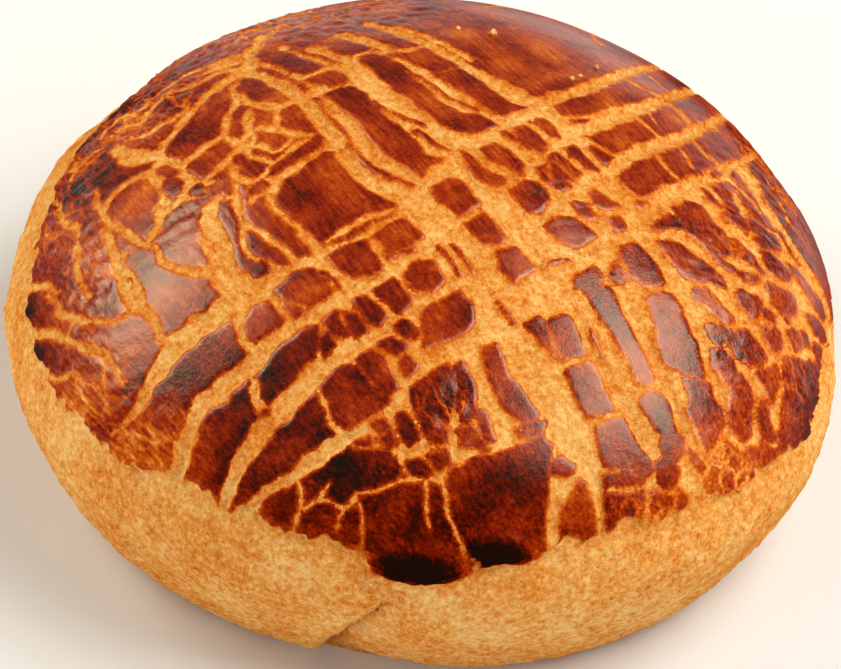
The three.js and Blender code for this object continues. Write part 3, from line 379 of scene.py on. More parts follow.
# Cracks where the glaze tore as the dough rose: width, then skin points
CRACKS: tuple[tuple[float, Points], ...] = (
    # upper left wedge
    (1.3, ((-20.8, 19.5), (-24.3, 15.5), (-26.8, 12), (-28.4, 9), (-29.8, 6), (-30, 4.5))),
    (0.9, ((-21.2, 17.1), (-21.7, 14), (-21.5, 12.4), (-21.3, 10.9), (-22, 8.6), (-22.3, 6.7), (-22.5, 5.1),
           (-24.4, 3.6), (-26.3, 1.9), (-26.8, 1))),
    (1.1, ((-21.5, 13.3), (-20.6, 12.3), (-19.5, 10.2), (-18.3, 8.9), (-16.9, 7.9), (-15.9, 8.1),
           (-14.5, 8.4))),
    (0.9, ((-19.4, 8.6), (-19.6, 6.6), (-19.3, 4.6), (-19.7, 3.3), (-20.2, 2.4))),
    (0.9, ((-22.5, 4.9), (-21.6, 3.8), (-20.7, 2.6), (-19.8, 2), (-20.6, 1.2), (-21.5, 0.6))),
    (0.6, ((-16.3, 7.5), (-16.2, 5.7), (-16.1, 3.8))),
    (0.7, ((-19.3, 4.6), (-18.3, 4.7), (-17.1, 4.1), (-15, 2.8), (-13.5, 2), (-12.1, 1.7))),
    (0.7, ((-19, 4.3), (-19, 2.7), (-19.5, 1.7), (-18.3, 1.5), (-17.3, 0.6), (-16.6, 0), (-15.8, 0),
           (-14.6, 1.4))),
    (0.8, ((-20.4, 1.6), (-19.5, 1), (-18.9, -0.2), (-17.7, -1), (-16.6, -2.1))),
    (0.8, ((-21.5, 0.6), (-21.8, -0.6), (-22.6, -0.7), (-23.4, -1.7), (-24.6, -2.4))),
    (0.8, ((-21.5, -0.9), (-20.9, -1.9), (-21, -2.9), (-20, -4), (-18.9, -4.6), (-17.3, -3.8),
           (-17.2, -2.6))),
    (0.8, ((-16.9, -2.4), (-15.3, -1.2), (-14.5, -0.3), (-13.5, 0.7), (-12.4, 1.3))),
    # triangle
    (0.8, ((-10.8, -15.2), (-8.2, -13.4), (-5.9, -12.2), (-3.6, -11.1))),
    (0.6, ((-5.7, -15.5), (-4.7, -17.6), (-4, -18.9))),
    (0.9, ((-17.2, -7.4), (-16.2, -9.6), (-14.9, -11.6), (-13.5, -13.5), (-12.2, -15.4), (-11.6, -16.8))),
    (0.8, ((-20.1, -10.4), (-18.8, -11.9), (-17.1, -13.7), (-15.4, -15.5), (-14.2, -17.2))),
    (0.8, ((-20.2, -10.5), (-20.2, -12.5), (-19.8, -14.5), (-18.7, -16.2))),
    # left shoulder
    (0.9, ((-36.1, 13.9), (-34.5, 14.1), (-33.1, 13.6), (-32.2, 15.4), (-30.9, 17.4), (-29.3, 18.6),
           (-27.5, 18.4), (-25.8, 18.4), (-23.9, 19.7), (-22, 19.3))),
    (0.6, ((-33.8, 10.7), (-32, 10.3), (-30.4, 11.2), (-28.8, 11.7), (-27.8, 12.7), (-26.9, 14.3))),
    (1, ((-30.3, 20.7), (-28.9, 22), (-27.4, 22.6), (-25.7, 22.6), (-24.1, 22.9), (-22.2, 22.9),
         (-20.2, 22.6))),
    (1.6, ((-25.4, 20.8), (-23.6, 21.3), (-21.6, 21), (-20.2, 20.8))),
    (0.6, ((-33.5, 17.1), (-32.3, 18.7), (-31.2, 20.6), (-29.7, 21.7))),
    (0.6, ((-38.3, 14.9), (-37.5, 15.9), (-36.5, 17.5), (-35, 18.7))),
    (0.5, ((-41.6, 9.6), (-40, 11), (-38.6, 11.6))),
    # back
    (0.7, ((-31, 31), (-27.5, 34.5), (-24, 36.5), (-20.5, 40.5), (-19, 44.5))),
    (0.6, ((-24, 36.5), (-19.5, 35.5), (-15, 37), (-10.5, 36), (-6, 37.5))),
    (0.6, ((-15, 37), (-13, 41), (-12.5, 46))),
    (0.5, ((-6, 37.5), (-2.5, 41), (-1.5, 46.5))),
    (0.6, ((7, 34), (9.5, 38), (9, 42.5), (11.5, 47))),
    (0.5, ((9.5, 38), (14, 39.5), (18.5, 38), (23, 39.5))),
    (0.7, ((26, 44), (23, 39.5), (21.5, 35), (22.5, 31))),
    # right rim
    (0.5, ((36.8, 4.8), (38.6, 4.1), (40.2, 2.4), (41.6, 0.8))),
    (0.6, ((39, 8.1), (40.3, 5.9), (41.5, 3.9), (42.9, 2.1), (44.3, 0.8))),
    (0.6, ((41.5, 8.2), (42.3, 5.7), (43.3, 2.8), (44.9, 1), (46.2, -0.9), (46.7, -2.9))),
    (0.7, ((44.5, 0.3), (45.2, -1.8), (46.3, -3.8), (47.5, -5.3), (48.9, -6.9))),
    (0.5, ((43.4, 12.6), (44.4, 9.4), (45.2, 6.6), (46.6, 3.6))),
    # left plates
    (0.5, ((-45.2, -9.4), (-43.4, -12.4))),
    (0.4, ((-41.6, -15.6), (-42.6, -17.2))),
    # between the first stroke's tines
    (0.7, ((-13.8, 13.2), (-11.5, 14), (-9.6, 15))),
    (0.7, ((-7.4, 16.6), (-5.8, 18.1), (-4.2, 18.3))),
    (0.7, ((-3.8, 17.8), (-2, 17.6), (0.4, 18.6))),
    # between the second stroke's tines
    (1.2, ((-21.6, -22.6), (-20.5, -26.5), (-19.6, -28.6))),
    (0.8, ((-20, -31), (-19.1, -35.2))),
    (0.7, ((-11.9, -34), (-10.8, -37), (-9.6, -39.6))),
    (0.8, ((24.2, 21), (26, 18.9), (28.5, 18.7), (30, 19.6))),
    (0.7, ((27.6, 26.2), (30, 23), (30.8, 22))),
    (0.4, ((16.6, 6.2), (20, 7.7), (21.5, 9), (22.9, 10.8))),
    (0.5, ((25.2, 10.4), (27.5, 8.6), (28.6, 7.1))),
    (0.5, ((26.8, 13.6), (28.2, 11))),
    (0.7, ((30.4, 17.6), (33.8, 14.3))),
    (0.6, ((27.4, 4.2), (28.5, 1.5), (30, 0))),
    (0.4, ((30.8, 6.8), (31.8, 5), (32, 3.6))),
    (0.8, ((32.9, 10.6), (35, 8.2), (36.6, 7))),
    # front
    (0.45, ((-14.9, -42.2), (-14.7, -44), (-14.8, -46), (-15.4, -47.4), (-16.4, -49.4))),
    (0.45, ((-15.2, -47), (-13.6, -46.2), (-12.2, -45.4), (-11, -44))),
    (0.45, ((-12.6, -46), (-11, -46.2), (-9.4, -46.9), (-8.2, -46), (-7.6, -45.4), (-4, -44.6),
            (-1.5, -43.9), (0.4, -44.2))),
    (0.35, ((-8, -45.8), (-7.4, -48), (-7.1, -50), (-7.6, -51.8))),
    (0.35, ((-9.2, -46.8), (-10, -47.6), (-10.2, -48.6))),
    (0.55, ((1.2, -43.8), (2.5, -44.2), (2.8, -45.6), (3.3, -47.6), (4.4, -49.8), (5.3, -51.8))),
    (0.4, ((0.3, -44.5), (0.7, -47), (0.9, -48.8))),
    (1.6, ((14.9, -44), (15.5, -47), (15.6, -50.5))),
    (0.6, ((21, -42), (23.2, -41.4), (25.6, -40.8))),
    (0.7, ((14.4, -29.5), (15.8, -28.9), (17.4, -28.1), (18.4, -27.6))),
    (0.7, ((17.4, -35.1), (19.4, -34.7), (21.6, -33.4))),
)


def smoothstep(value: Array, start: float, end: float) -> Array:
    """Goes smoothly from 0 at start to 1 at end."""
    share = np.clip((value - start) / (end - start), 0.0, 1.0)
    return share * share * (3.0 - 2.0 * share)


def linear_colour(red: int, green: int, blue: int) -> tuple[float, float, float, float]:
    """Turns a screen colour into the linear colour that a shader takes.

    Args:
        red: Red from 0 to 255.
        green: Green from 0 to 255.
        blue: Blue from 0 to 255.

    Returns:
        Linear red, green and blue, and an alpha of one.
    """
    shares = [channel / 255.0 for channel in (red, green, blue)]
    linear = [share / 12.92 if share <= 0.04045 else ((share + 0.055) / 1.055) ** 2.4 for share in shares]
    return (linear[0], linear[1], linear[2], 1.0)


def near_box(skin: Array, places: Array, margin: float) -> Array:
    """Row numbers of the skin points within a margin of the box that holds some places."""
    above = skin > places.min(axis=0) - margin
    return np.flatnonzero((above & (skin < places.max(axis=0) + margin)).all(axis=1))


@dataclass(frozen=True)
class Ripple:
    """Smooth seeded unevenness over the skin.

    Attributes:
        seed: Seed of the random draw.
        length: Mean wavelength.
        height: Its usual height.
        waves: Number of waves that are added up.
        spread: Shortest and longest wave against the mean one.
    """

    seed: int
    length: float
    height: float
    waves: int = 22
    spread: Pair = (0.7, 1.5)

    def at(self, skin: Array) -> Array:
        """Reads the unevenness.

        Args:
            skin: Skin points, one per row.

        Returns:
            One number per skin point.
        """
        draw = np.random.default_rng(self.seed)
        turn = draw.uniform(0.0, 2.0 * math.pi, self.waves)
        pace = 2.0 * math.pi / (self.length * draw.uniform(*self.spread, self.waves))
        phase = draw.uniform(0.0, 2.0 * math.pi, self.waves)
        total = np.zeros(len(skin))
        for angle, rate, start in zip(turn, pace, phase):
            total += np.cos(rate * (skin[:, 0] * math.cos(angle) + skin[:, 1] * math.sin(angle)) + start)
        return self.height * (total * math.sqrt(2.0 / self.waves))


@dataclass(frozen=True)
class Patch:
    """Soft-edged patch of the skin that differs from the rest.

    Attributes:
        middle: Its middle on the skin.
        reach: Half its size along u and v.
        amount: How much it differs.
    """

    middle: Pair
    reach: Pair
    amount: float

    def at(self, skin: Array) -> Array:
        """How much each skin point differs."""
        offset = (skin - self.middle) / self.reach
        return self.amount * np.exp(-(offset**2).sum(axis=1))


def added_up(parts: tuple[Ripple | Patch, ...], skin: Array) -> Array:
    """Adds up what ripples or patches give at each skin point."""
    return sum(part.at(skin) for part in parts)


@dataclass(frozen=True)
class BunForm:
    """Form of the bun: a domed top over a belly that tucks in to a flat base.

    Attributes:
        radius: Greatest radius, at the belly.
        belly_height: Height of the belly over the base.
        dome_rise: Rise of the dome over the belly.
        dome_power: Fullness of the dome, where 2 is an ellipse.
        tuck_depth: Depth of the curve below the belly.
        tuck_power: Fullness of that curve.
        heel_round: Rounding at the base.
        oval_share: How oval the plan is.
        oval_turn: Direction of the oval.
        three_sided_share: How three-sided the plan is.
        three_sided_turn: Direction of the three sides.
        swell_height: Height of the slow unevenness.
        swell_length: Its wavelength.
        swell_bend: How far its crests bend.
        swell_pace: How fast it changes along v against u.
        swell_phase: Where it starts along v.
        swell_fade: Distance from the base over which it fades out.
        samples: Samples along each half of the side curve.
        slope_step: Distance over which a slope is taken.
    """

    radius: float = 47.5
    belly_height: float = 16.0
    dome_rise: float = 27.0
    dome_power: float = 1.9
    tuck_depth: float = 40.0
    tuck_power: float = 1.6
    heel_round: float = 1.5
    oval_share: float = 0.027
    oval_turn: float = 2.27
    three_sided_share: float = -0.018
    three_sided_turn: float = 0.34
    swell_height: float = 0.25
    swell_length: float = 31.0
    swell_bend: float = 0.7
    swell_pace: float = 0.8
    swell_phase: float = 1.3
    swell_fade: float = 12.0
    samples: int = 600
    slope_step: float = 0.4

    def side_curve(self) -> tuple[Array, Array, Array]:
        """Samples the mean side curve from the top of the dome to the base.

        Returns:
            Arc length, radius and height of each sample.
        """
        cosine = np.cos(np.linspace(0.0, math.pi / 2.0, self.samples + 1))
        cosine = np.clip(cosine, 0.0, 1.0)
        dome = self.radius * (1.0 - cosine**self.dome_power) ** (1.0 / self.dome_power)
        drop = self.belly_height * np.linspace(0.0, 1.0, self.samples + 1)[1:]
        tuck = self.radius * (1.0 - (drop / self.tuck_depth) ** self.tuck_power) ** (1.0 / self.tuck_power)
        into_heel = np.clip(1.0 - (self.belly_height - drop) / self.heel_round, 0.0, 1.0)
        heel = self.heel_round * (1.0 - np.sqrt(1.0 - into_heel**2))
        radius = np.concatenate([dome, tuck - heel])
        height = np.concatenate([self.belly_height + self.dome_rise * cosine, self.belly_height - drop])
        steps = np.hypot(np.diff(radius), np.diff(height))
        return np.concatenate([[0.0], np.cumsum(steps)]), radius, height

    def skin_length(self) -> float:
        """Arc length from the top of the dome to the base."""
        return float(self.side_curve()[0][-1])

    def bare(self, skin: Array) -> Array:
        """Places skin points on the even form.

        Args:
            skin: Skin points, one per row.

        Returns:
            Points in space, one per row.
        """
        arcs, radii, heights = self.side_curve()
        turn = np.arctan2(skin[:, 1], skin[:, 0])
        arc = np.hypot(skin[:, 0], skin[:, 1])
        oval = self.oval_share * np.cos(2.0 * (turn - self.oval_turn))
        three_sided = self.three_sided_share * np.cos(3.0 * (turn - self.three_sided_turn))
        reach = np.interp(arc, arcs, radii) * (1.0 + oval + three_sided)
        return np.column_stack([reach * np.cos(turn), reach * np.sin(turn), np.interp(arc, arcs, heights)])

    def normals(self, skin: Array) -> Array:
        """Finds the outward direction of the even form.

        Args:
            skin: Skin points, one per row.

        Returns:
            Unit directions, one per row.
        """
        step = self.slope_step
        along_u = self.bare(skin + (step, 0.0)) - self.bare(skin - (step, 0.0))
        along_v = self.bare(skin + (0.0, step)) - self.bare(skin - (0.0, step))
        across = np.cross(along_u, along_v)
        return across / np.linalg.norm(across, axis=1)[:, None]

    def swell(self, skin: Array) -> Array:
        """Reads the slow unevenness, which fades out towards the base.

        Args:
            skin: Skin points, one per row.

        Returns:
            Rise of each skin point.
        """
        turn_u = 2.0 * math.pi * skin[:, 0] / self.swell_length
        turn_v = 2.0 * math.pi * skin[:, 1] / self.swell_length
        crest = np.sin(turn_u + self.swell_bend * np.sin(turn_v))
        rise = self.swell_height * crest * np.cos(self.swell_pace * turn_v + self.swell_phase)
        return rise * (1.0 - self.near_base(skin, self.swell_fade))

    def near_base(self, skin: Array, distance: float) -> Array:
        """Goes from 0 at a distance from the base to 1 at the base, for each skin point."""
        length = self.skin_length()
        return smoothstep(np.hypot(skin[:, 0], skin[:, 1]), length - distance, length)

    def place(self, skin: Array, rise: Array) -> Array:
        """Places skin points on the uneven form, lifted off it.

        Args:
            skin: Skin points, one per row.
            rise: Lift of each skin point.

        Returns:
            Points in space, one per row, none of them under the base.
        """
        points = self.bare(skin) + self.normals(skin) * (self.swell(skin) + rise)[:, None]
        points[:, 2] = np.maximum(points[:, 2], 0.0)
        return points


@dataclass(frozen=True)
class Fold:
    """Fold low on the front, where the skin to its right sinks in under the lobe to its left.

    Attributes:
        start: Upper end on the skin.
        end: Lower end on the skin.
        sink: Depth of the step.
        reach: Distance over which the sunken side comes back up.
        crease_depth: Depth of the crease along the step.
        crease_width: Width of that crease.
        full_share: Share of its length by which the step has its full depth.
        crease_shares: Shares of its length between which the crease sets in.
    """

    start: Pair = (-2.5, -56.5)
    end: Pair = (-20.5, -72.0)
    sink: float = 2.8
    reach: float = 8.0
    crease_depth: float = 0.7
    crease_width: float = 1.1
    full_share: float = 0.6
    crease_shares: Pair = (-0.15, 0.2)

    def drop(self, skin: Array) -> Array:
        """Reads how far the skin sinks.

        Args:
            skin: Skin points, one per row.

        Returns:
            Drop of each skin point.
        """
        along = np.subtract(self.end, self.start)
        offset = skin - self.start
        share = offset @ along / (along @ along)
        side = (along[0] * offset[:, 1] - along[1] * offset[:, 0]) / np.linalg.norm(along)
        depth = smoothstep(share, 0.0, self.full_share)
        step = np.where(side >= 0.0, np.exp(-np.maximum(side, 0.0) / self.reach), 0.0)
        crease = np.exp(-((side / self.crease_width) ** 2)) * smoothstep(share, *self.crease_shares)
        return self.sink * depth * step + self.crease_depth * crease


@dataclass(frozen=True)
class BurntRun:
    """Run of glaze that swelled over the coat's front edge and burnt.

    Attributes:
        middle: Its middle on the skin.
        half_length: Half its length along the edge.
        half_width: Half its width.
        height: Its height over the coat.
        rim: Distance that its middle counts as from its edge.
    """

    middle: Pair
    half_length: float
    half_width: float
    height: float
    rim: float = 1.6

    def reach(self, skin: Array) -> Array:
        """Distance from the middle as a share of the run's size, for each skin point."""
        offset = (skin - self.middle) / (self.half_length, self.half_width)
        return np.hypot(offset[:, 0], offset[:, 1])

    def edge_gap(self, skin: Array) -> Array:
        """Distance from each skin point out to the run's edge, below zero outside the run."""
        return self.rim * (1.0 - self.reach(skin))

    def bulge(self, skin: Array) -> Array:
        """Height of the run over each skin point."""
        return self.height * np.sqrt(np.clip(1.0 - self.reach(skin) ** 2, 0.0, 1.0))


class BareLine:
    """Line of bare dough: a smooth path over the skin with a width at every point.

    Attributes:
        STEP: Distance between points of the path.
        END_SHARE: Share of its width that a tapered line has at its ends.
        path: Places and widths along the line, one per row.
    """

    STEP: float = 0.6
    END_SHARE: float = 0.45

    def __init__(self, points: Points, width: float | None = None, taper: float = 0.0) -> None:
        """Smooths the path through the given points.

        Args:
            points: Skin points, each with its own width where no width is given for all.
            width: Width of the whole line.
            taper: Distance over which the line narrows at its ends.
        """
        rows = [point if width is None else (*point, width) for point in points]
        self.path = self.smoothed(np.array(rows, dtype=float))
        if taper > 0.0:
            run = np.concatenate([[0.0], np.cumsum(np.hypot(*np.diff(self.path[:, :2], axis=0).T))])
            to_end = np.minimum(run, run[-1] - run)
            opened = np.sqrt(np.clip(to_end / taper, 0.0, 1.0))
            self.path[:, 2] *= self.END_SHARE + (1.0 - self.END_SHARE) * opened

    def smoothed(self, knots: Array) -> Array:
        """Runs a smooth curve through the knots.

        Args:
            knots: Places and widths, one per row.

        Returns:
            Places and widths along the curve, one per row.
        """
        lead_in = knots[0] + (knots[0] - knots[1])
        lead_out = knots[-1] + (knots[-1] - knots[-2])
        ends = [lead_in, *knots, lead_out]
        rows = []
        for before, start, end, after in zip(ends, ends[1:], ends[2:], ends[3:]):
            count = max(int(np.hypot(*(end - start)[:2]) / self.STEP), 1)
            share = np.linspace(0.0, 1.0, count, endpoint=False)[:, None]
            bend = 2.0 * before - 5.0 * start + 4.0 * end - after
            turn = 3.0 * start - before - 3.0 * end + after
            rows.append(0.5 * (2.0 * start + (end - before) * share + bend * share**2 + turn * share**3))
        return np.concatenate([*rows, knots[-1:]])

    def nearest(self, skin: Array) -> tuple[Array, Array, Array]:
        """Finds the nearest place on the line.

        Args:
            skin: Skin points, one per row.

        Returns:
            Distance to the line, half its width there, and the nearest place on it.
        """
        distance = np.full(len(skin), np.inf)
        half_width = np.zeros(len(skin))
        place = np.zeros((len(skin), 2))
        for start, end in zip(self.path[:-1], self.path[1:]):
            along = (end - start)[:2]
            share = np.clip((skin - start[:2]) @ along / max(along @ along, TINY), 0.0, 1.0)
            foot = start[:2] + share[:, None] * along
            apart = np.hypot(*(skin - foot).T)
            closer = apart < distance
            distance[closer] = apart[closer]
            half_width[closer] = 0.5 * (start[2] + share[closer] * (end[2] - start[2]))
            place[closer] = foot[closer]
        return distance, half_width, place

    def around(self, skin: Array, margin: float) -> Array:
        """Row numbers of the skin points within a margin of the box that holds the line."""
        return near_box(skin, self.path[:, :2], margin)


class Outline:
    """Closed outline on the skin."""

    def __init__(self, corners: Points) -> None:
        """Keeps the skin points around the outline."""
        self.corners = np.array(corners, dtype=float)

    def inside(self, skin: Array, margin: float) -> tuple[Array, Array]:
        """Finds how far inside the outline skin points lie.

        Args:
            skin: Skin points, one per row.
            margin: Distance around the outline at which points still count.

        Returns:
            Row numbers of the points that count, and their distance in from the outline, which is
            below zero outside it.
        """
        rows = near_box(skin, self.corners, margin)
        near = skin[rows]
        distance = np.full(len(near), np.inf)
        within = np.zeros(len(near), dtype=bool)
        for start, end in zip(self.corners, np.roll(self.corners, -1, axis=0)):
            along = end - start
            share = np.clip((near - start) @ along / (along @ along), 0.0, 1.0)
            distance = np.minimum(distance, np.hypot(*(near - start - share[:, None] * along).T))
            spans = (start[1] > near[:, 1]) != (end[1] > near[:, 1])
            rise = along[1] if along[1] != 0.0 else 1.0
            within ^= spans & (near[:, 0] < start[0] + along[0] * (near[:, 1] - start[1]) / rise)
        return rows, np.where(within, distance, -distance)


@dataclass(frozen=True)
class Glaze:
    """Coat of egg glaze over the top, torn by the fork and by the rising dough.

    Attributes:
        thickness: Thickness of the coat.
        lip: Distance over which its edge comes down to the dough.
        edge: How far from the top it ends, as (degrees, arc) around the bun.
        frays: Unevenness of that edge.
        shakes: Ripples along u and v that shake the lines in the coat.
        width_waver: Unevenness of the lines' widths.
        tine_depth: Depth of a fork line.
        tine_growth: How much wider it is on each side than drawn.
        crack_depth: Depth of a crack.
        crack_share: Its width against the drawn one.
        crack_taper: Distance over which it narrows at its ends.
        sliver_growth: How much wider a sliver is on each side than drawn.
        flake_growth: How far a flake reaches beyond its outline.
        bank: Distances in from a bare edge between which a groove gets deep.
        sliver_bank: The same, out from a sliver.
        flake_bank: The same, out from a flake.
        far: Gap where no bare edge is near.
        cut_reach: Distance at which a bare line still counts.
        kept_reach: Distance at which a sliver, a flake or a lost area does.
        narrow: Width up to which the mesh follows a line.
        runs: Burnt runs over the front edge.
        char_shift: Shift of the burn along v from the runs.
        char_fade: Reaches of a run between which the burn fades out.
        crumbled: Patches where the glaze is broken up.
        buckles: Unevenness of the glaze there.
        tones: Patches of browner glaze, or paler where below zero.
        tone_waver: Unevenness of the browning.
        dulled: Patches with less gloss.
        least_gloss: Gloss of the dullest glaze.
        gloss_onset: Distances in from the coat's edge between which the gloss sets in.
    """

    thickness: float = 0.4
    lip: float = 0.5
    edge: Points = (
        (-180, 47.4), (-165, 50.6), (-150, 51.4), (-138, 52), (-127, 50.3), (-117, 50.8), (-107, 51.6),
        (-98, 52), (-92.5, 53.3), (-88, 54.2), (-85, 52.2), (-80, 52.9), (-74, 51.6), (-64, 51.2), (-54, 52),
        (-40, 53.4), (-29, 54.5), (-16, 52.3), (0, 55), (20, 53.5), (45, 51.5), (75, 50), (105, 48.5),
        (130, 46.5), (150, 44), (166, 45.2), (180, 47.4),
    )
    frays: tuple[Ripple, ...] = (Ripple(31, 5.0, 0.3), Ripple(32, 1.9, 0.22))
    shakes: tuple[tuple[Ripple, Ripple], ...] = (
        (Ripple(21, 4.5, 0.1), Ripple(22, 4.5, 0.1)),
        (Ripple(23, 1.7, 0.03), Ripple(24, 1.7, 0.03)),
    )
    width_waver: Ripple = Ripple(25, 3.0, 0.13)
    tine_depth: float = 0.5
    tine_growth: float = 0.1
    crack_depth: float = 0.3
    crack_share: float = 0.75
    crack_taper: float = 1.6
    sliver_growth: float = 0.2
    flake_growth: float = 0.44
    bank: Pair = (-0.1, 0.8)
    sliver_bank: Pair = (-0.1, 0.5)
    flake_bank: Pair = (-0.2, 0.4)
    far: float = 9.0
    cut_reach: float = 5.0
    kept_reach: float = 2.0
    narrow: float = 1.0
    runs: tuple[BurntRun, ...] = (
        BurntRun((-0.4, -52.8), 6.7, 2.6, 0.9),
        BurntRun((9.6, -50.2), 4.8, 1.9, 0.7),
    )
    char_shift: float = -1.1
    char_fade: Pair = (0.4, 1.4)
    crumbled: tuple[Patch, ...] = (
        Patch((36, -8), (10, 12), 0.35),
        Patch((37, -24), (7, 9), 0.2),
        Patch((38, -36.5), (6, 3.5), 0.55),
        Patch((-40, -10), (5, 7), 0.45),
        Patch((-33, 17), (7, 9), 0.75),
        Patch((-43, 6), (5, 9), 0.6),
        Patch((-27, -10), (4, 6), 0.22),
        Patch((-18, 33), (16, 9), 0.65),
        Patch((43, 19), (6, 12), 0.5),
        Patch((-41, -25), (5, 7), 0.6),
        Patch((-34, -35), (6, 4), 0.6),
        Patch((3, -36), (4, 5), 0.5),
        Patch((-22, -5), (6, 4), 0.15),
        Patch((-2, -42), (6, 3), 0.15),
        Patch((15, -5), (6, 6), 0.3),
        Patch((25, -43), (5, 4), 0.5),
        Patch((46, 6), (5, 10), 0.4),
        Patch((46, -23), (4, 6), 0.35),
    )
    buckles: tuple[Ripple, ...] = (Ripple(53, 1.7, 0.09), Ripple(54, 3.0, 0.09))
    tones: tuple[Patch, ...] = (
        Patch((8, -45), (6, 5), 0.09),
        Patch((-4, -47), (9, 5), 0.2),
        Patch((-16, -40), (10, 5), 0.17),
        Patch((-14, -30), (14, 5), 0.1),
        Patch((-17, 4), (6, 7), -0.14),
        Patch((-33, -3), (4, 4), -0.12),
        Patch((14, 22), (13, 9), -0.13),
        Patch((27, 9), (9, 9), -0.1),
        Patch((6, 0), (14, 12), -0.06),
        Patch((-30, 30), (18, 14), -0.1),
        Patch((10, 44), (30, 8), -0.06),
        Patch((-24, 9), (5, 6), -0.04),
        Patch((-22, -31), (5, 5), 0.12),
        Patch((36, -36), (8, 6), -0.22),
        Patch((-35, -38), (8, 6), -0.2),
        Patch((-44, -28), (5, 8), -0.14),
        Patch((-44, -3), (5, 9), -0.12),
        Patch((-36, -21), (8, 5), -0.08),
        Patch((-48.5, -9), (2, 3), 0.34),
        Patch((-48, -17), (2.4, 3), 0.36),
        Patch((44, -20), (5, 9), -0.1),
        Patch((47.5, -24), (2.5, 5), 0.3),
        Patch((-41, 5), (3.2, 3), 0.38),
        Patch((-29.3, 26), (3, 2.5), 0.34),
        Patch((-33, 22), (2.5, 2), 0.25),
        Patch((-36, 20.6), (2.5, 2), 0.38),
        Patch((-42, 16), (2, 3), 0.2),
        Patch((45.5, 2), (2, 5), 0.15),
        Patch((48, -2), (1.5, 3), 0.15),
        Patch((44, 9), (1.5, 4), 0.12),
    )
    tone_waver: Ripple = Ripple(41, 9.0, 0.05)
    dulled: tuple[Patch, ...] = (
        Patch((0, -52), (30, 9), 1.3),
        Patch((-33, -3), (4, 5), 0.7),
        Patch((-36, -38), (9, 6), 0.7),
        Patch((-51, -10), (5, 22), 0.7),
        Patch((53, -8), (6, 24), 0.6),
        Patch((5, 44), (45, 14), 0.95),
        Patch((-38, 24), (14, 14), 0.7),
        Patch((45, 20), (9, 16), 0.8),
        Patch((36, 30), (11, 10), 0.8),
    )
    least_gloss: float = 0.05
    gloss_onset: Pair = (-2.0, 7.0)

    def tines(self) -> list[BareLine]:
        """Lists the lines that the fork drew."""
        return [BareLine(points) for points in (*FIRST_STROKE, *SECOND_STROKE)]

    def cracks(self) -> list[BareLine]:
        """Lists the narrow cracks."""
        return [BareLine(points, self.crack_share * width, self.crack_taper) for width, points in CRACKS]

    def slivers(self) -> list[BareLine]:
        """Lists the slivers of glaze left inside bare lines."""
        return [BareLine(points, width) for width, points in SLIVERS]

    def wide_tears(self) -> list[BareLine]:
        """Lists the wide tears."""
        return [BareLine(points) for points in TEARS]

    def waver(self, skin: Array) -> Array:
        """Shakes skin points a little, so that lines drawn over them waver.

        Args:
            skin: Skin points, one per row.

        Returns:
            Shaken skin points.
        """
        shaken = skin
        for across, along in self.shakes:
            shaken = shaken + np.column_stack([across.at(skin), along.at(skin)])
        return shaken

    def settle(self, skin: Array, spacing: float) -> Array:
        """Moves skin points that lie beside a narrow line on to its middle, so that the mesh follows it.

        Args:
            skin: Skin points of the mesh, one per row.
            spacing: Distance between them.

        Returns:
            Moved skin points.
        """
        shaken = self.waver(skin)
        best = np.full(len(skin), 0.5 * spacing)
        moved = skin.copy()
        for line in (*self.slivers(), *self.tines(), *self.wide_tears(), *self.cracks()):
            if line.path[:, 2].min() > self.narrow:
                continue
            rows = line.around(shaken, spacing)
            distance, _, place = line.nearest(shaken[rows])
            closer = distance < best[rows]
            chosen = rows[closer]
            best[chosen] = distance[closer]
            moved[chosen] = skin[chosen] + place[closer] - shaken[chosen]
        return moved

    def edge_gap(self, skin: Array) -> Array:
        """Measures how far skin points lie from the coat's edge.

        Args:
            skin: Skin points, one per row.

        Returns:
            Distance from each skin point out to the edge, below zero outside the coat.
        """
        degrees = np.degrees(np.arctan2(skin[:, 1], skin[:, 0]))
        turns, arcs = np.array(self.edge).T
        slot = np.clip(np.searchsorted(turns, degrees, side="right") - 1, 0, len(turns) - 2)
        share = smoothstep((degrees - turns[slot]) / (turns[slot + 1] - turns[slot]), 0.0, 1.0)
        arc = arcs[slot] + share * (arcs[slot + 1] - arcs[slot])
        return arc + added_up(self.frays, skin) - np.hypot(skin[:, 0], skin[:, 1])

    def tears(self, skin: Array) -> tuple[Array, Array]:
        """Reads the bare lines.

        Args:
            skin: Skin points, one per row.

        Returns:
            Distance to the nearest bare line's edge, below zero inside it, and depth of the groove.
        """
        shaken = self.waver(skin)
        gap = np.full(len(skin), self.far)
        groove = np.zeros(len(skin))
        for line in self.tines():
            self.cut(line, self.tine_depth, self.tine_growth, shaken, gap, groove)
        for line in self.wide_tears():
            self.cut(line, self.crack_depth, 0.0, shaken, gap, groove)
        for corners in LOST:
            rows, lost = Outline(corners).inside(shaken, self.kept_reach)
            gap[rows] = np.minimum(gap[rows], -lost)
            groove[rows] = np.maximum(groove[rows], self.crack_depth * smoothstep(lost, *self.bank))
        for line in self.slivers():
            rows = line.around(shaken, self.kept_reach)
            distance, half_width, _ = line.nearest(shaken[rows])
            gap[rows] = np.maximum(gap[rows], half_width + self.sliver_growth - distance)
            groove[rows] *= smoothstep(distance - half_width, *self.sliver_bank)
        for corners in FLAKES:
            rows, kept = Outline(corners).inside(shaken, self.kept_reach)
            kept = kept + self.flake_growth
            gap[rows] = np.maximum(gap[rows], kept)
            groove[rows] *= smoothstep(-kept, *self.flake_bank)
        for line in self.cracks():
            self.cut(line, self.crack_depth, 0.0, shaken, gap, groove)
        return gap, groove

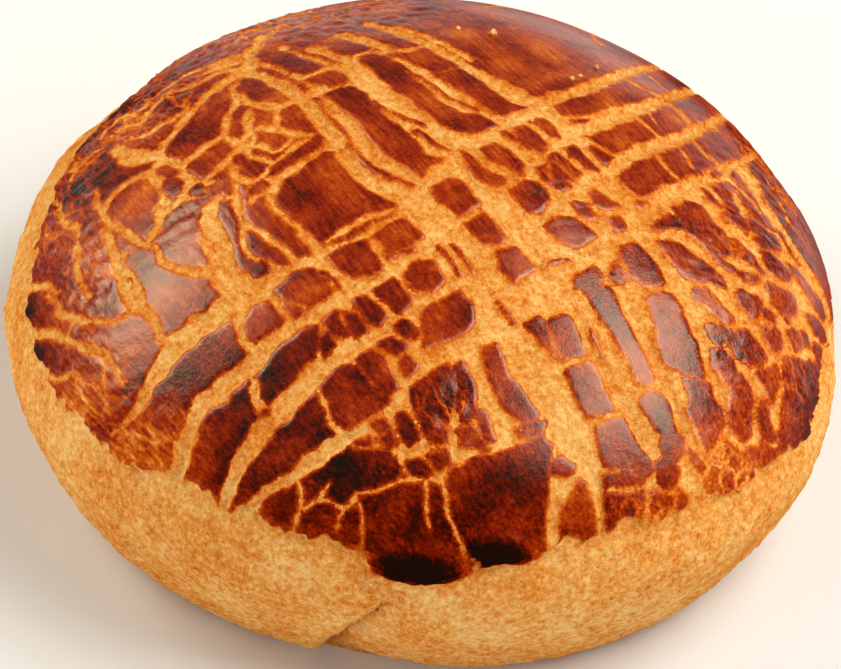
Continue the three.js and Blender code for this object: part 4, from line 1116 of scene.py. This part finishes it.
    def cut(
        self,
        line: BareLine,
        depth: float,
        growth: float,
        skin: Array,
        gap: Array,
        groove: Array,
    ) -> None:
        """Cuts a bare line into the coat.

        Args:
            line: The line.
            depth: Depth of its groove.
            growth: How much wider it is on each side.
            skin: Skin points, one per row.
            gap: Distance to the nearest bare edge, which the line changes.
            groove: Depth of the grooves, which the line changes.
        """
        rows = line.around(skin, self.cut_reach)
        distance, half_width, _ = line.nearest(skin[rows])
        half_width = half_width * (1.0 + self.width_waver.at(skin[rows])) + growth
        gap[rows] = np.minimum(gap[rows], distance - half_width)
        groove[rows] = np.maximum(groove[rows], depth * smoothstep(half_width - distance, *self.bank))

    def browning(self, skin: Array) -> Array:
        """Browning of the glaze at each skin point, where zero is the common one."""
        return added_up((*self.tones, self.tone_waver), skin)

    def crumble(self, skin: Array) -> Array:
        """How broken up the glaze is at each skin point, from 0 to 1."""
        return np.clip(added_up(self.crumbled, skin), 0.0, 1.0)

    def gloss(self, skin: Array) -> Array:
        """How glossy the glaze is at each skin point, from 0 to 1, fading where the coat thins out."""
        shine = np.clip(1.0 - added_up(self.dulled, skin), self.least_gloss, 1.0)
        return shine * smoothstep(self.edge_gap(skin), *self.gloss_onset)

    def char(self, skin: Array) -> Array:
        """How burnt each skin point is, from 0 to 1."""
        moved = skin - (0.0, self.char_shift)
        return np.maximum.reduce([1.0 - smoothstep(run.reach(moved), *self.char_fade) for run in self.runs])


@dataclass(frozen=True)
class Speckle:
    """Layer of fine unevenness in a finish.

    Attributes:
        size: Size of its features in millimetres.
        detail: Number of finer layers in it.
        roughness: Strength of the finer layers.
        amount: How strongly it shows.
        stretch: How many times longer its features are along a direction, and that direction in degrees.
    """

    size: float
    detail: float = 2.0
    roughness: float = 0.55
    amount: float = 1.0
    stretch: Pair | None = None


@dataclass(frozen=True)
class Slope:
    """Smooth step of a finish from one result to another.

    Attributes:
        start: Value at which it begins.
        end: Value at which it ends.
        low: Result before it.
        high: Result after it.
    """

    start: float
    end: float
    low: float = 0.0
    high: float = 1.0


class NodeSheet:
    """Node tree of one material, with short ways to add and join nodes."""

    def __init__(self, name: str) -> None:
        """Makes an empty material.

        Args:
            name: Name of the material.
        """
        self.material = bpy.data.materials.new(name)
        self.material.use_nodes = True
        self.tree = self.material.node_tree
        self.shader = self.tree.nodes["Principled BSDF"]
        place = self.tree.nodes.new("ShaderNodeTexCoord")
        self.place = place.outputs["Object"]

    def join(self, value: object, socket: Socket) -> None:
        """Links an output to a socket, or sets the socket where a plain value is given.

        Args:
            value: Output or plain value.
            socket: Socket that takes it.
        """
        if isinstance(value, Socket):
            self.tree.links.new(value, socket)
        else:
            socket.default_value = value

    def attribute(self, name: str) -> Socket:
        """Reads a number that the mesh carries.

        Args:
            name: Name of the number.

        Returns:
            Output with the number.
        """
        node = self.tree.nodes.new("ShaderNodeAttribute")
        node.attribute_name = name
        return node.outputs["Fac"]

    def noise_node(self, layer: Speckle) -> bpy.types.Node:
        """Adds noise.

        Args:
            layer: What the noise is like.

        Returns:
            Node of the noise.
        """
        node = self.tree.nodes.new("ShaderNodeTexNoise")
        node.inputs["Scale"].default_value = 1.0 / (layer.size * MM)
        node.inputs["Detail"].default_value = layer.detail
        node.inputs["Roughness"].default_value = layer.roughness
        place = self.place
        if layer.stretch is not None:
            place = self.stretched(place, layer.stretch)
        self.join(place, node.inputs["Vector"])
        return node

    def noise(self, layer: Speckle) -> Socket:
        """Adds noise from 0 to 1."""
        return self.noise_node(layer).outputs["Fac"]

    def centred(self, layer: Speckle) -> Socket:
        """Adds noise around zero."""
        return self.math("SUBTRACT", self.noise(layer), 0.5)

    def speckled(self, value: object, layer: Speckle) -> Socket:
        """Adds a layer of unevenness to a value, as strongly as the layer says."""
        return self.math("MULTIPLY_ADD", self.centred(layer), layer.amount, value)

    def stretched(self, place: Socket, stretch: Pair) -> Socket:
        """Lengthens what is laid over a place.

        Args:
            place: Output with the place.
            stretch: How many times longer features get along a direction, and that direction in degrees.

        Returns:
            Output with the new place.
        """
        node = self.tree.nodes.new("ShaderNodeMapping")
        node.vector_type = "TEXTURE"
        node.inputs["Scale"].default_value = (stretch[0], 1.0, 1.0)
        node.inputs["Rotation"].default_value = (0.0, 0.0, math.radians(stretch[1]))
        self.join(place, node.inputs["Vector"])
        return node.outputs["Vector"]

    def cells(self, size: float, waver: Speckle, stretch: Pair) -> Socket:
        """Adds a network of irregular cells.

        Args:
            size: Size of a cell in millimetres.
            waver: Unevenness of the cells' outlines, with its amount in millimetres.
            stretch: How many times longer the cells are along a direction, and that direction in degrees.

        Returns:
            Output with the distance from the nearest outline in millimetres.
        """
        shifted = self.tree.nodes.new("ShaderNodeVectorMath")
        shifted.operation = "MULTIPLY_ADD"
        self.join(self.noise_node(waver).outputs["Color"], shifted.inputs[0])
        shifted.inputs[1].default_value = (waver.amount * MM,) * 3
        self.join(self.place, shifted.inputs[2])
        node = self.tree.nodes.new("ShaderNodeTexVoronoi")
        node.feature = "DISTANCE_TO_EDGE"
        node.inputs["Scale"].default_value = 1.0 / (size * MM)
        self.join(self.stretched(shifted.outputs["Vector"], stretch), node.inputs["Vector"])
        return self.math("MULTIPLY", node.outputs["Distance"], size)

    def math(self, operation: str, first: object, second: object, third: object = 0.0) -> Socket:
        """Adds a sum.

        Args:
            operation: Blender's name of the operation.
            first: First value or output.
            second: Second value or output.
            third: Third value or output.

        Returns:
            Output with the result.
        """
        node = self.tree.nodes.new("ShaderNodeMath")
        node.operation = operation
        for value, socket in zip((first, second, third), node.inputs):
            self.join(value, socket)
        return node.outputs[0]

    def blend(self, share: Socket, start: float, end: float) -> Socket:
        """Goes evenly from one number to another as a share goes from 0 to 1."""
        return self.math("MULTIPLY_ADD", share, end - start, start)

    def between(self, value: Socket, slope: Slope) -> Socket:
        """Adds a smooth step.

        Args:
            value: Output that is read.
            slope: The step.

        Returns:
            Output with the result.
        """
        node = self.tree.nodes.new("ShaderNodeMapRange")
        node.interpolation_type = "SMOOTHSTEP"
        for number, socket in zip((value, slope.start, slope.end, slope.low, slope.high), node.inputs):
            self.join(number, socket)
        return node.outputs[0]

    def ramp(self, value: Socket, stops: Stops) -> Socket:
        """Adds a row of colours.

        Args:
            value: Output that picks the colour.
            stops: Place and screen colour of each stop.

        Returns:
            Output with the colour.
        """
        node = self.tree.nodes.new("ShaderNodeValToRGB")
        band = node.color_ramp
        while len(band.elements) < len(stops):
            band.elements.new(0.5)
        for element, (place, colour) in zip(band.elements, stops):
            element.position = place
            element.color = linear_colour(*colour)
        self.join(value, node.inputs["Fac"])
        return node.outputs["Color"]

    def bump(self, height: Socket) -> Socket:
        """Adds fine relief.

        Args:
            height: Output with the height in millimetres.

        Returns:
            Output with the normal.
        """
        node = self.tree.nodes.new("ShaderNodeBump")
        node.inputs["Distance"].default_value = MM
        node.inputs["Strength"].default_value = 1.0
        self.join(height, node.inputs["Height"])
        return node.outputs["Normal"]


@dataclass(frozen=True)
class CrustFinish:
    """Finish of the bun: matte grainy dough where bare, a clear gloss over red-brown glaze elsewhere.

    Attributes:
        browns: Colours from pale dough over thin and thick glaze to burnt glaze.
        roughness: Roughness under the gloss.
        gloss_roughness: Roughness of the gloss.
        gloss_rise: Gloss by the distance in from a bare edge.
        cover: Cover of glaze over dough by that distance.
        side_brown: Place of the bare side among the browns.
        band_brown: Place of the dough between flakes.
        band_onset: Change from the one to the other by the distance in from the coat's edge.
        grain: Grain of the crumb.
        side_grain: How much it browns the bare side.
        band_grain: How much it browns the dough between flakes.
        pits: Added brown of the lowest grains.
        blotches: Uneven browning of the dough.
        flecks: Noise of its brown flecks.
        fleck_rise: Added brown by that noise.
        dough_streaks: Streaks in the dough between flakes.
        halo: Added brown of the dough close to a flake.
        coat_rise: Brown of the glaze by the distance in from a bare edge.
        coat_streaks: Streaks in the glaze.
        crumbled_streaks: Their amount where the glaze is broken up.
        coat_blotches: Uneven browning of the glaze.
        char_brown: Added brown of burnt glaze.
        fray: Raggedness of the flakes' edges.
        crumbled_fray: Its amount where the glaze is broken up.
        cell_size: Size of the finest flakes in millimetres.
        cell_waver: Unevenness of their outlines.
        cell_stretch: How many times longer they are along a direction, and that direction in degrees.
        opening: Width in millimetres of the cracks between them, on whole and on broken glaze.
        opening_waver: Unevenness of that width.
        crumb_height: Height of the grain in millimetres by the distance in from a bare edge.
        wrinkles: Relief of broken glaze, with its height in millimetres.
    """

    browns: Stops = (
        (0.0, (226, 194, 134)),
        (0.12, (221, 165, 95)),
        (0.24, (208, 133, 58)),
        (0.38, (190, 94, 22)),
        (0.52, (163, 63, 9)),
        (0.66, (133, 36, 4)),
        (0.8, (97, 17, 2)),
        (0.9, (62, 12, 3)),
        (1.0, (25, 11, 6)),
    )
    roughness: float = 0.75
    gloss_roughness: float = 0.12
    gloss_rise: Slope = Slope(0.0, 0.3)
    cover: Slope = Slope(-0.07, 0.07)
    side_brown: float = 0.166
    band_brown: float = 0.178
    band_onset: Slope = Slope(-2.0, 0.5)
    grain: Speckle = Speckle(0.6, 4.0, 0.8)
    side_grain: float = -0.82
    band_grain: float = -0.77
    pits: Slope = Slope(-0.27, -0.12, 0.22, 0.0)
    blotches: tuple[Speckle, ...] = (Speckle(7.0, 3.0, 0.55, 0.42), Speckle(1.3, 5.0, 0.7, 0.44))
    flecks: Speckle = Speckle(1.1, 4.0, 0.75, stretch=(1.8, STREAK_TURN))
    fleck_rise: Slope = Slope(0.57, 0.67, 0.0, 0.07)
    dough_streaks: Speckle = Speckle(0.6, 3.0, 0.6, 0.3, (5.0, STREAK_TURN))
    halo: Slope = Slope(-0.5, 0.0, 0.0, 0.07)
    coat_rise: Slope = Slope(0.0, 0.55, 0.42, 0.71)
    coat_streaks: Speckle = Speckle(0.45, 3.0, 0.6, 0.5, (8.0, STREAK_TURN))
    crumbled_streaks: float = 1.2
    coat_blotches: tuple[Speckle, ...] = (Speckle(4.0, 5.0, 0.65, 0.75), Speckle(0.35, 3.0, 0.7, 0.4))
    char_brown: float = 0.36
    fray: Speckle = Speckle(1.1, 6.0, 0.72, 1.2)
    crumbled_fray: float = 2.6
    cell_size: float = 2.4
    cell_waver: Speckle = Speckle(2.88, 3.0, 0.5, 2.4)
    cell_stretch: Pair = (2.4, STREAK_TURN)
    opening: Pair = (-0.6, 0.35)
    opening_waver: Speckle = Speckle(4.0, amount=1.3)
    crumb_height: Slope = Slope(-0.2, 0.2, 0.25, 0.05)
    wrinkles: Speckle = Speckle(1.3, 4.0, 0.6, 0.4)

    def material(self) -> bpy.types.Material:
        """Builds the material.

        Returns:
            Material that reads the mesh's flake, edge, browning, char, gloss and crumble numbers.
        """
        sheet = NodeSheet("baked_crust")
        depth = self.depth(sheet)
        grain = sheet.centred(self.grain)
        dough = self.dough(sheet, depth, grain)
        coat = self.coat(sheet, depth)
        more = sheet.math("SUBTRACT", coat, dough)
        brown = sheet.math("MULTIPLY_ADD", sheet.between(depth, self.cover), more, dough)
        shader = sheet.shader.inputs
        sheet.join(sheet.ramp(brown, self.browns), shader["Base Color"])
        shader["Roughness"].default_value = self.roughness
        shader["Specular IOR Level"].default_value = 0.0
        shader["Coat Roughness"].default_value = self.gloss_roughness
        gloss = sheet.math("MULTIPLY", sheet.between(depth, self.gloss_rise), sheet.attribute("gloss"))
        sheet.join(gloss, shader["Coat Weight"])
        relief = self.relief(sheet, grain)
        sheet.join(relief, shader["Normal"])
        sheet.join(relief, shader["Coat Normal"])
        return sheet.material

    def depth(self, sheet: NodeSheet) -> Socket:
        """Frays the flakes' edges and opens the finest cracks.

        Args:
            sheet: Material that is being built.

        Returns:
            Output with the distance in from the nearest bare edge in millimetres, below zero on bare dough.
        """
        crumble = sheet.attribute("crumble")
        ragged = sheet.blend(crumble, self.fray.amount, self.crumbled_fray)
        depth = sheet.math("MULTIPLY_ADD", sheet.centred(self.fray), ragged, sheet.attribute("flake"))
        opening = sheet.speckled(sheet.blend(crumble, *self.opening), self.opening_waver)
        cells = sheet.cells(self.cell_size, self.cell_waver, self.cell_stretch)
        return sheet.math("MINIMUM", depth, sheet.math("SUBTRACT", cells, opening))

    def dough(self, sheet: NodeSheet, depth: Socket, grain: Socket) -> Socket:
        """Colours the bare dough.

        Args:
            sheet: Material that is being built.
            depth: Distance in from the nearest bare edge.
            grain: Grain of the crumb.

        Returns:
            Output with the place among the browns.
        """
        band = sheet.between(sheet.attribute("edge"), self.band_onset)
        brown = sheet.blend(band, self.side_brown, self.band_brown)
        grain_amount = sheet.blend(band, self.side_grain, self.band_grain)
        brown = sheet.math("MULTIPLY_ADD", grain, grain_amount, brown)
        for layer in self.blotches:
            brown = sheet.speckled(brown, layer)
        streak_amount = sheet.math("MULTIPLY", band, self.dough_streaks.amount)
        brown = sheet.math("MULTIPLY_ADD", sheet.centred(self.dough_streaks), streak_amount, brown)
        marks = ((grain, self.pits), (sheet.noise(self.flecks), self.fleck_rise), (depth, self.halo))
        for value, slope in marks:
            brown = sheet.math("ADD", brown, sheet.between(value, slope))
        return brown

    def coat(self, sheet: NodeSheet, depth: Socket) -> Socket:
        """Colours the glaze.

        Args:
            sheet: Material that is being built.
            depth: Distance in from the nearest bare edge.

        Returns:
            Output with the place among the browns.
        """
        brown = sheet.between(depth, self.coat_rise)
        crumble = sheet.attribute("crumble")
        streak_amount = sheet.blend(crumble, self.coat_streaks.amount, self.crumbled_streaks)
        brown = sheet.math("MULTIPLY_ADD", sheet.centred(self.coat_streaks), streak_amount, brown)
        for layer in self.coat_blotches:
            brown = sheet.speckled(brown, layer)
        brown = sheet.math("ADD", brown, sheet.attribute("browning"))
        return sheet.math("MULTIPLY_ADD", sheet.attribute("char"), self.char_brown, brown)

    def relief(self, sheet: NodeSheet, grain: Socket) -> Socket:
        """Raises the grain of the dough and the wrinkles of broken glaze.

        Args:
            sheet: Material that is being built.
            grain: Grain of the crumb.

        Returns:
            Output with the normal.
        """
        crumb_height = sheet.between(sheet.attribute("flake"), self.crumb_height)
        height = sheet.math("MULTIPLY", grain, crumb_height)
        wrinkles = sheet.math("MULTIPLY", sheet.noise(self.wrinkles), sheet.attribute("crumble"))
        return sheet.bump(sheet.math("MULTIPLY_ADD", wrinkles, self.wrinkles.amount, height))


@dataclass(frozen=True)
class CrumbFinish:
    """Finish of a loose crumb: plain matte dough.

    Attributes:
        tones: Colours from pale to browned dough.
        speckle: Noise that picks among them.
        roughness: Roughness of the dough.
    """

    tones: Stops = ((0.35, (226, 194, 134)), (0.65, (209, 131, 51)))
    speckle: Speckle = Speckle(0.3, 3.0)
    roughness: float = 0.8

    def material(self) -> bpy.types.Material:
        """Builds the material.

        Returns:
            Material of the crumbs.
        """
        sheet = NodeSheet("crumb_dough")
        colour = sheet.ramp(sheet.noise(self.speckle), self.tones)
        sheet.join(colour, sheet.shader.inputs["Base Color"])
        sheet.shader.inputs["Roughness"].default_value = self.roughness
        return sheet.material


@dataclass(frozen=True)
class FloorFinish:
    """Finish of the floor: plain, pale and matte.

    Attributes:
        colour: Linear colour, with an alpha of one.
        roughness: Roughness of the floor.
    """

    colour: tuple[float, float, float, float] = (0.72, 0.79, 1.0, 1.0)
    roughness: float = 0.9

    def material(self) -> bpy.types.Material:
        """Builds the material.

        Returns:
            Material of the floor.
        """
        sheet = NodeSheet("pale_floor")
        sheet.shader.inputs["Base Color"].default_value = self.colour
        sheet.shader.inputs["Roughness"].default_value = self.roughness
        return sheet.material


@dataclass(frozen=True)
class GlazedBun:
    """The bun itself: one closed skin over dough and glaze.

    Attributes:
        form: Form of the bun.
        glaze: Coat over its top.
        fold: Fold low on its front.
        finish: Finish of its skin.
        bulges: Rises and hollows of its left side.
        lumps: Unevenness of the bare side.
        lump_drop: How far the bare side lies under the form.
        lump_fade: Distance from the base over which it comes back to the form.
        flake_range: Least and greatest distance from a bare edge that the finish reads.
        edge_range: Least and greatest distance from the coat's edge that it reads.
        cells: Cells of the mesh along each side of the grid that it starts from.
        fine_share: Share of those cells that lie under the coat.
        fine_arc: Arc from the top that those cells cover.
        base_rings: Size of each ring of the underside against the ring before.
    """

    form: BunForm = BunForm()
    glaze: Glaze = Glaze()
    fold: Fold = Fold()
    finish: CrustFinish = CrustFinish()
    bulges: tuple[Patch, ...] = (
        Patch((-52, 27), (10, 13), 1.0),
        Patch((-58, -14), (9, 14), -0.5),
    )
    lumps: tuple[Ripple, ...] = (Ripple(51, 2.6, 0.06), Ripple(52, 6.0, 0.08))
    lump_drop: float = 0.15
    lump_fade: float = 4.0
    flake_range: Pair = (-3.0, 5.0)
    edge_range: Pair = (-3.0, 3.0)
    cells: int = 304
    fine_share: float = 0.845
    fine_arc: float = 55.5
    base_rings: tuple[float, ...] = (0.95, 0.8, 0.5)

    def build(self) -> tuple[bpy.types.Object, Array]:
        """Models the bun and dresses it.

        Returns:
            The piece, and the shift in millimetres that centres it in the frame.
        """
        bpy.ops.object.select_all(action="DESELECT")
        bpy.ops.mesh.primitive_grid_add(x_subdivisions=self.cells, y_subdivisions=self.cells, size=2.0)
        piece = bpy.context.object
        piece.name = "glazed_bun"
        mesh = piece.data
        corners = np.empty(3 * len(mesh.vertices))
        mesh.vertices.foreach_get("co", corners)
        skin = self.spread(corners.reshape(-1, 3)[:, :2])
        skin = self.glaze.settle(skin, 2.0 * self.fine_arc / (self.cells * self.fine_share))
        points, numbers = self.shape(skin)
        shift = -0.5 * (points.min(axis=0) + points.max(axis=0))
        shift[2] = -points[:, 2].min()
        mesh.vertices.foreach_set("co", ((points + shift) * MM).ravel())
        for name, values in numbers.items():
            layer = mesh.attributes.new(name, "FLOAT", "POINT")
            layer.data.foreach_set("value", values.astype(np.float32))
        self.close_base()
        mesh.materials.append(self.finish.material())
        return piece, shift

    def spread(self, square: Array) -> Array:
        """Spreads a square grid over the skin in rings, finer under the coat.

        Args:
            square: Grid points from -1 to 1, one per row.

        Returns:
            Skin points, one per row.
        """
        across, along = square.T
        ring = np.maximum(np.abs(across), np.abs(along))
        lower = np.minimum(np.abs(across), np.abs(along))
        slant = 0.25 * math.pi * lower / np.maximum(ring, TINY)
        slant = np.where(np.abs(across) >= np.abs(along), slant, 0.5 * math.pi - slant)
        inner = self.fine_arc * ring / self.fine_share
        rest = (ring - self.fine_share) / (1.0 - self.fine_share)
        outer = self.fine_arc + (self.form.skin_length() - self.fine_arc) * rest
        arc = np.where(ring < self.fine_share, inner, outer)
        return np.column_stack([arc * np.cos(slant) * np.sign(across), arc * np.sin(slant) * np.sign(along)])

    def shape(self, skin: Array) -> tuple[Array, dict[str, Array]]:
        """Shapes the skin with its coat, tears, burnt runs and fold.

        Args:
            skin: Skin points, one per row.

        Returns:
            Points in space, and the numbers that the finish reads.
        """
        arc = np.hypot(skin[:, 0], skin[:, 1])
        edge = self.glaze.edge_gap(skin)
        gap, groove = self.glaze.tears(skin)
        for run in self.glaze.runs:
            edge = np.maximum(edge, run.edge_gap(skin))
        flake = np.minimum(edge, gap)
        coated = smoothstep(edge, -0.5 * self.glaze.lip, 0.5 * self.glaze.lip)
        rise = self.glaze.thickness * coated - groove * coated
        rise += np.maximum.reduce([run.bulge(skin) for run in self.glaze.runs])
        crumble = self.glaze.crumble(skin)
        rise += crumble * coated * added_up(self.glaze.buckles, skin)
        lumps = added_up(self.lumps, skin) - self.lump_drop
        rise += lumps * (1.0 - coated) * (1.0 - self.form.near_base(skin, self.lump_fade))
        rise += added_up(self.bulges, skin) - self.fold.drop(skin)
        points = self.form.place(skin, rise)
        points[arc > self.form.skin_length() - TINY, 2] = 0.0
        numbers = {
            "flake": np.clip(flake, *self.flake_range),
            "browning": self.glaze.browning(skin),
            "char": self.glaze.char(skin),
            "gloss": self.glaze.gloss(skin),
            "crumble": crumble,
            "edge": np.clip(edge, *self.edge_range),
        }
        return points, numbers

    def close_base(self) -> None:
        """Closes the underside of the active piece and smooths its shading."""
        bpy.ops.object.mode_set(mode="EDIT")
        bpy.ops.mesh.select_mode(type="EDGE")
        bpy.ops.mesh.select_all(action="DESELECT")
        bpy.ops.mesh.select_non_manifold()
        for share in self.base_rings:
            bpy.ops.mesh.extrude_region()
            bpy.ops.transform.resize(value=(share, share, 1.0), center_override=(0.0, 0.0, 0.0))
        bpy.ops.mesh.merge(type="CENTER")
        bpy.ops.mesh.select_all(action="SELECT")
        bpy.ops.mesh.normals_make_consistent(inside=False)
        bpy.ops.object.mode_set(mode="OBJECT")
        bpy.ops.object.shade_smooth()


@dataclass(frozen=True)
class LooseCrumbs:
    """Crumbs of dough that came off and lie on the skin.

    Attributes:
        form: Form of the bun that they lie on.
        finish: Their finish.
        crumbs: Skin point and size of each crumb.
        lift: Height of their middles over the form.
        roundness: Subdivisions of the ball that a crumb starts from.
        uneven_share: Unevenness of a crumb against its size.
        seed: Seed of their uneven shapes.
    """

    form: BunForm = BunForm()
    finish: CrumbFinish = CrumbFinish()
    crumbs: Points = (
        (8.2, 23.7, 0.9), (4.1, 24, 0.6), (17.8, 15.4, 0.6), (18.8, 16.6, 0.5), (21, 20.5, 0.5),
        (2, -52.6, 0.5), (-6.6, -55.4, 0.4), (-8.6, -55.6, 0.4), (12.7, 4.6, 0.4),
    )
    lift: float = 0.5
    roundness: int = 2
    uneven_share: float = 0.2
    seed: int = 6

    def build(self, shift: Array) -> bpy.types.Object:
        """Models the crumbs as one piece.

        Args:
            shift: Shift in millimetres that centred the bun in the frame.

        Returns:
            The piece.
        """
        bpy.ops.object.select_all(action="DESELECT")
        made = []
        for number, (across, along, size) in enumerate(self.crumbs):
            place = self.form.place(np.array([[across, along]]), np.array([self.lift]))[0] + shift
            bpy.ops.mesh.primitive_ico_sphere_add(
                subdivisions=self.roundness, radius=0.5 * size * MM, location=tuple(place * MM)
            )
            bpy.ops.object.mode_set(mode="EDIT")
            bpy.ops.mesh.select_all(action="SELECT")
            bpy.ops.transform.vertex_random(offset=self.uneven_share * size * MM, seed=self.seed + number)
            bpy.ops.object.mode_set(mode="OBJECT")
            made.append(bpy.context.object)
        for crumb in made:
            crumb.select_set(True)
        bpy.context.view_layer.objects.active = made[0]
        bpy.ops.object.join()
        bpy.ops.object.transform_apply(location=True, rotation=True, scale=True)
        piece = bpy.context.object
        piece.name = "loose_crumbs"
        piece.data.materials.append(self.finish.material())
        return piece


class Side(Enum):
    """Side of the bun that a lamp stands on, as a direction towards it."""

    RIGHT = (0.61, -0.01, 0.79)
    LEFT_BACK = (-0.72, 0.33, 0.61)
    FRONT_LEFT = (-0.83, -0.53, 0.16)
    FRONT_RIGHT = (0.7, -0.7, 0.16)


@dataclass(frozen=True)
class SoftLamp:
    """Large soft lamp that faces the bun.

    Attributes:
        side: Side that it stands on.
        brightness: Brightness of its face.
        size: Width and height in metres.
        distance: Distance from the bun in metres.
        mirrored: Whether the glaze mirrors it.
        colour: Colour of its light.
    """

    side: Side
    brightness: float
    size: Pair
    distance: float = 0.6
    mirrored: bool = True
    colour: tuple[float, float, float] = (1.0, 0.91, 0.7)

    def build(self, target: Array) -> None:
        """Adds the lamp.

        Args:
            target: Point in metres that it faces.
        """
        direction = np.array(self.side.value)
        place = target + self.distance * direction / np.linalg.norm(direction)
        bpy.ops.object.light_add(type="AREA", location=tuple(place))
        lamp = bpy.context.object
        lamp.name = f"lamp_{self.side.name.lower()}"
        lamp.data.color = self.colour
        lamp.data.shape = "RECTANGLE"
        lamp.data.size = self.size[0]
        lamp.data.size_y = self.size[1]
        lamp.data.energy = self.brightness * math.pi * self.size[0] * self.size[1]
        lamp.visible_glossy = self.mirrored
        aim(lamp, target)


def aim(thing: bpy.types.Object, target: Array) -> None:
    """Turns a lamp or camera so that it looks at a point in metres."""
    look = Vector(target) - thing.location
    thing.rotation_euler = look.to_track_quat("-Z", "Y").to_euler()


@dataclass(frozen=True)
class Studio:
    """Pale floor, soft lamps and the photograph's camera.

    Attributes:
        aim_height: Height over the base that the camera looks at.
        elevation: Camera's angle over the floor in degrees.
        distance: Camera's distance.
        lens: Focal length of the camera.
        film_width: Width of its film.
        shift: Sideways and upward shift of the picture.
        floor_size: Width of the floor in metres.
        floor_finish: Finish of the floor.
        ambient: Brightness of the room.
        room_colour: Linear colour of the room, with an alpha of one.
        lamps: Lamps around the bun.
    """

    aim_height: float = 16.0
    elevation: float = 42.0
    distance: float = 700.0
    lens: float = 263.0
    film_width: float = 36.0
    shift: Pair = (-0.0017, -0.0158)
    floor_size: float = 3.0
    floor_finish: FloorFinish = FloorFinish()
    ambient: float = 0.16
    room_colour: tuple[float, float, float, float] = (1.0, 0.83, 0.62, 1.0)
    lamps: tuple[SoftLamp, ...] = (
        SoftLamp(Side.RIGHT, 7.2, (0.54, 0.39), colour=(1.0, 0.9, 0.66)),
        SoftLamp(Side.LEFT_BACK, 7.7, (0.34, 0.26), colour=(1.0, 0.87, 0.58)),
        SoftLamp(Side.FRONT_LEFT, 6.2, (0.7, 0.3), 0.9, False),
        SoftLamp(Side.FRONT_RIGHT, 3.8, (0.7, 0.3), 0.9, False),
    )

    def build(self, shift: Array) -> None:
        """Sets the stage.

        Args:
            shift: Shift in millimetres that centred the bun in the frame.
        """
        target = (np.array([0.0, 0.0, self.aim_height]) + shift) * MM
        bpy.ops.object.select_all(action="DESELECT")
        bpy.ops.mesh.primitive_plane_add(size=self.floor_size)
        floor = bpy.context.object
        floor.name = "floor"
        floor.data.materials.append(self.floor_finish.material())
        for lamp in self.lamps:
            lamp.build(target)
        world = bpy.data.worlds.new("room")
        world.use_nodes = True
        room = world.node_tree.nodes["Background"]
        room.inputs["Color"].default_value = self.room_colour
        room.inputs["Strength"].default_value = self.ambient
        bpy.context.scene.world = world
        bpy.context.scene.view_settings.view_transform = "Standard"
        self.camera(target)

    def camera(self, target: Array) -> None:
        """Adds the camera.

        Args:
            target: Point in metres that it looks at.
        """
        rise = math.radians(self.elevation)
        offset = np.array([0.0, -math.cos(rise), math.sin(rise)]) * self.distance * MM
        bpy.ops.object.camera_add(location=tuple(target + offset))
        camera = bpy.context.object
        camera.name = "photo_camera"
        camera.data.sensor_width = self.film_width
        camera.data.lens = self.lens
        camera.data.shift_x = self.shift[0]
        camera.data.shift_y = self.shift[1]
        aim(camera, target)
        bpy.context.scene.camera = camera


def main() -> None:
    """Builds the bun and its stage and reports each piece."""
    logging.basicConfig(level=logging.INFO, format="%(message)s")
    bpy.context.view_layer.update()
    bun, shift = GlazedBun().build()
    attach(bun, "root")
    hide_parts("bun")
    log.info("%s: %d faces", bun.name, len(bun.data.polygons))
    crumbs = LooseCrumbs().build(shift)
    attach(crumbs, "root")
    log.info("%s: %d faces", crumbs.name, len(crumbs.data.polygons))
    Studio().build(shift)


if __name__ == "__main__":
    main()
